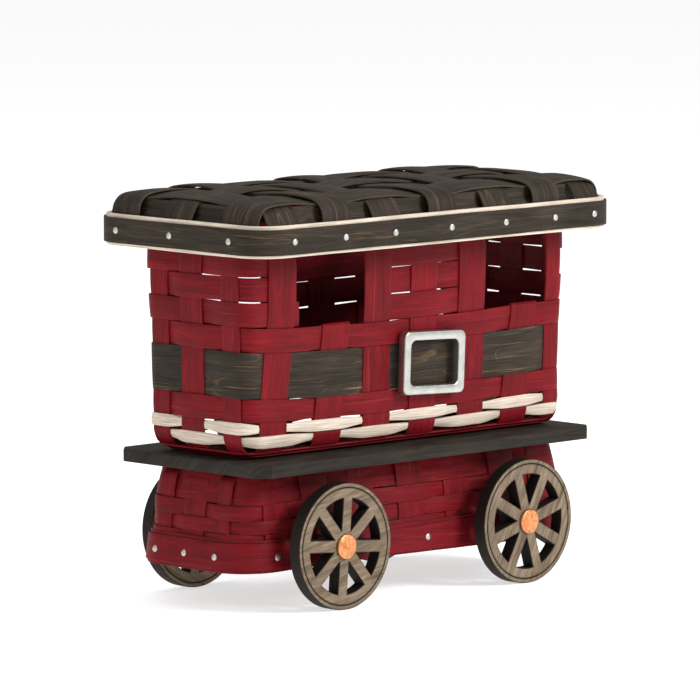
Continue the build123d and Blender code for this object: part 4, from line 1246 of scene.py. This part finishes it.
def wheel_part(radius, thick, turn):
    """Points, faces and char of one wheel lying flat, its face towards +Z."""
    loops = []
    for inset, depth, char in WHEEL_LOOPS:
        edge = radius - inset * MM
        loops.append(([(edge * cos(a), edge * sin(a)) for a in np.linspace(0, 2 * pi, 97)[:-1]],
                      depth * MM, char, inset == 0))
    for spoke in range(SPOKES):
        angle = turn + spoke * 2 * pi / SPOKES
        spin = np.array([[cos(angle), sin(angle)], [-sin(angle), cos(angle)]])
        for inset, depth, char in WHEEL_LOOPS:
            outline = np.array(window_loop(inset * MM)) @ spin
            loops.append((outline.tolist(), depth * MM, char, inset == 0))
    for offset, depth, char in ((-0.4, 0.0, 0.3), (-0.18, 0.3, 1.0), (0.18, 0.3, 1.0), (0.4, 0.0, 0.3)):
        ring = GROOVE + offset * MM
        loops.append(([(ring * cos(a), ring * sin(a)) for a in np.linspace(0, 2 * pi, 97)[:-1]],
                      depth * MM, char, False))
    flat, edges, depths, chars, walls = [], [], [], [], []
    for outline, depth, char, is_wall in loops:
        start, count = len(flat), len(outline)
        flat += [Vector(point) for point in outline]
        edges += [(start + i, start + (i + 1) % count) for i in range(count)]
        depths += [depth] * count
        chars += [char] * count
        if is_wall:
            walls.append((start, count))
    spread = np.linspace(-radius, radius, 34)
    for x in spread:
        for y in spread:
            r = sqrt(x * x + y * y)
            if r < GROOVE - 1.2 * MM and not in_window(x, y, turn):
                flat.append(Vector((x, y)))
                depths.append(0.0)
                chars.append(0.0)
    made, _, triangles, kept, _, _ = delaunay_2d_cdt(flat, edges, [], 0, 1e-9)
    source = [ids[0] if ids else 0 for ids in kept]
    depths = [depths[i] for i in source]
    chars = [chars[i] for i in source]
    triangles = [t for t in triangles if is_wood(sum((made[i] for i in t), Vector((0, 0))) / 3,
                                                 radius, turn)]
    face = [(p.x, p.y, thick / 2 - d) for p, d in zip(made, depths)]
    rear = [(p.x, p.y, d - thick / 2) for p, d in zip(made, depths)]
    count = len(face)
    faces = [tuple(t) for t in triangles] + [tuple(count + i for i in t[::-1]) for t in triangles]
    where = {ids[0]: index for index, ids in enumerate(kept) if ids}
    for start, loop_count in walls:
        for i in range(loop_count):
            a, b = where[start + i], where[start + (i + 1) % loop_count]
            faces.append((a, b, count + b, count + a))
    points = np.array(face + rear)
    return points, faces, np.array(chars + chars)


def in_window(x, y, turn, room=1.0 * MM):
    """Whether a place lies in an opening between spokes, or close to its edge."""
    r = sqrt(x * x + y * y)
    if r > RIM_INNER + room or r < MM:
        return False
    angle = (np.arctan2(y, x) - turn) % (2 * pi / SPOKES)
    from_spoke = min(r * sin(angle), r * sin(2 * pi / SPOKES - angle))
    return from_spoke > SPOKE_HALF - room


def is_wood(middle, radius, turn):
    return middle.length < radius and not in_window(middle.x, middle.y, turn, 0.0)


# %% Weathered and charred plywood


def plywood_finish(name, tones, char_tone, rough, shine=0.18):
    """Plywood whose faces show long grain and whose cut edges are charred."""
    recipe = Recipe(name)
    grain = recipe.node("ShaderNodeAttribute", attribute_name="grain", out=1)
    char = recipe.node("ShaderNodeAttribute", attribute_name="edge", out=2)
    figure = recipe.noise(grain, (30.0, 330.0, 30.0), 5.0, 0.8)
    fibres = recipe.noise(grain, (90.0, 2400.0, 90.0), 3.0)
    pores = recipe.noise(grain, (150.0, 2900.0, 150.0), 2.0)
    blotch = recipe.noise(grain, (70.0, 110.0, 70.0), 3.0)
    colour = recipe.ramp(recipe.spread(figure, 0.28, 0.72),
                         [(0.0, tones[0]), (0.45, tones[1]), (1.0, tones[2])])
    shade = recipe.maths("ADD", recipe.spread(fibres, 0.25, 0.75, 0.66, 1.2),
                         recipe.spread(blotch, 0.3, 0.7, -0.2, 0.16))
    colour = recipe.shaded(colour, shade)
    colour = recipe.mix(recipe.spread(pores, 0.60, 0.70, 0.0, 0.7), colour, char_tone)
    burnt = recipe.spread(recipe.maths("ADD", char, recipe.spread(blotch, 0.3, 0.7, -0.12, 0.12)),
                          0.15, 0.8)
    colour = recipe.mix(burnt, colour, char_tone)
    height = recipe.maths("SUBTRACT", fibres, recipe.spread(pores, 0.58, 0.68, 0.0, 0.7))
    return recipe.finish(Base_Color=colour, Roughness=recipe.spread(fibres, 0.3, 0.7, rough, rough + 0.15),
                         Specular_IOR_Level=shine, Normal=recipe.bump(height, 0.08 * MM, 0.8))


weathered = plywood_finish("weathered_plywood", [(0.115, 0.080, 0.050), (0.205, 0.150, 0.098),
                                                 (0.320, 0.248, 0.172)], (0.014, 0.010, 0.008), 0.6)
dark_ply = plywood_finish("dark_plywood", [(0.013, 0.010, 0.007), (0.026, 0.020, 0.014),
                                           (0.050, 0.039, 0.027)], (0.008, 0.007, 0.006), 0.55)

# %% Cut the four wheels
WHEEL_TURN = {"left": radians(85.3), "right": radians(106.5)}
GRAIN_LEAN = {"front_left": 12, "front_right": 64, "back_left": 150, "back_right": 100}
for end in ("left", "right"):
    for side_name, side in (("front", -1.0), ("back", 1.0)):
        node = f"wheel_{side_name}_{end}"
        low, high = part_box(node)
        middle = (low + high) / 2
        turn = WHEEL_TURN[end]
        points, faces, chars = wheel_part((high.z - low.z) / 2, high.y - low.y, turn)
        lean = radians(GRAIN_LEAN[f"{side_name}_{end}"])
        along = points[:, 0] * cos(lean) + points[:, 1] * sin(lean)
        across = points[:, 1] * cos(lean) - points[:, 0] * sin(lean)
        grain = np.column_stack([along, across, points[:, 2] + seeds.uniform(0, 9)])
        # seen from the front, x runs right and y runs up the face
        placed = np.column_stack([points[:, 0], side * points[:, 2], points[:, 1]])
        placed += np.array(middle)
        piece(f"charred_{node}", [(placed, faces, grain, chars)], weathered, [node], node,
              40)

# %% [markdown]
# ## The board
# The board is stained plywood with its corners cut off. A thin box would do, but the saw leaves
# the edge a little rounded and the layers of the ply show there. Loops of the outline are joined
# by quads and closed by one face above and one below; its edges are rolled over in three steps,
# and the edge attribute darkens the cut faces.

# %% Cut the board
board_low, board_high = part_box("platform_board")
BOARD_CUT = 6.6 * MM
BOARD_ROUND = 0.5 * MM


def board_outline(inset):
    """The outline of the board, drawn smaller by an inset, with points along its sides."""
    a, b = board_high.x - inset, board_high.y - inset
    cut = BOARD_CUT - inset * (2 - sqrt(2))
    corners = [(-a + cut, -b), (a - cut, -b), (a, -b + cut), (a, b - cut), (a - cut, b),
               (-a + cut, b), (-a, b - cut), (-a, -b + cut)]
    points = []
    for start, end in zip(corners, corners[1:] + corners[:1]):
        start, end = np.array(start), np.array(end)
        count = max(2, int(np.linalg.norm(end - start) / (8 * MM)))
        points += [tuple(start + (end - start) * i / count) for i in range(count)]
    return points


levels = []
for turn in np.linspace(0, pi / 2, 4):
    levels.append((BOARD_ROUND * (1 - sin(turn)), board_low.z + BOARD_ROUND * (1 - cos(turn))))
for turn in np.linspace(pi / 2, 0, 4):
    levels.append((BOARD_ROUND * (1 - sin(turn)), board_high.z - BOARD_ROUND * (1 - cos(turn))))
base_points = board_outline(0.0)
loops = []
for inset, z in levels:
    shrink = np.array([(board_high.x - inset) / board_high.x, (board_high.y - inset) / board_high.y])
    loops.append([(x * shrink[0], y * shrink[1], z) for x, y in base_points])
points = np.array([point for loop in loops for point in loop])
count = len(base_points)
faces = []
for index in range(len(loops) - 1):
    for i in range(count):
        j = (i + 1) % count
        faces.append((index * count + i, index * count + j, (index + 1) * count + j,
                      (index + 1) * count + i))
faces += [tuple(range(count))[::-1], tuple(range((len(loops) - 1) * count, len(loops) * count))]
chars = np.concatenate([np.full(count, 0.25 if inset < BOARD_ROUND * 0.99 else 0.0)
                        for inset, z in levels])
# height counts as grain too, so that the layers of the ply show on the edge
grain = np.column_stack([points[:, 0], points[:, 1] + points[:, 2], points[:, 2] * 0.2 + 4.0])
piece("dark_platform_board", [(points, faces, grain, chars)], dark_ply, ["platform_board"],
      "carriage", 30)

# %% [markdown]
# ## Hidden joinery
# The axles, their blocks and spacers, the cleats in the lid and the screws through the floor are
# plain turned or sawn pieces. Their shape in the frame is already right, so they keep it and are
# only given wood or steel.

# %% Give the plain pieces their finish


def object_wood(name, tones, rough):
    """Plain sawn wood for a piece whose mesh carries no grain of its own."""
    recipe = Recipe(name)
    place = recipe.node("ShaderNodeTexCoord", out=3)
    figure = recipe.noise(place, (260.0, 30.0, 260.0), 4.0, 0.7)
    fibres = recipe.noise(place, (1900.0, 80.0, 1900.0), 3.0)
    colour = recipe.ramp(figure, [(0.3, tones[0]), (0.5, tones[1]), (0.7, tones[2])])
    shade = recipe.spread(fibres, 0.3, 0.7, 0.75, 1.1)
    colour = recipe.shaded(colour, shade)
    return recipe.finish(Base_Color=colour, Roughness=rough,
                         Normal=recipe.bump(fibres, 0.05 * MM, 0.7))


dark_block = object_wood("dark_block_wood", [(0.020, 0.016, 0.013), (0.036, 0.030, 0.024),
                                             (0.055, 0.046, 0.037)], 0.6)
for node, finish in (("axle_left", dark_block), ("axle_right", dark_block),
                     ("axle_spacers", dark_block), ("axle_blocks", dark_block),
                     ("lid_cleats", dark_block), ("body_screws", tack_steel)):
    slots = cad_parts[node].material_slots
    if len(slots) == 0:
        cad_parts[node].data.materials.append(finish)
    for slot in slots:
        slot.material = finish
    print(node, "keeps its shape and takes", finish.name)

# %% [markdown]
# ## The size of the finished object
# The box round every shown piece is printed, with the number of pieces made.

# %% Print the box and the number of pieces
low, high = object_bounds()
print(len(pieces_made), "pieces made; box", [round(v / MM, 1) for v in high - low], "mm")
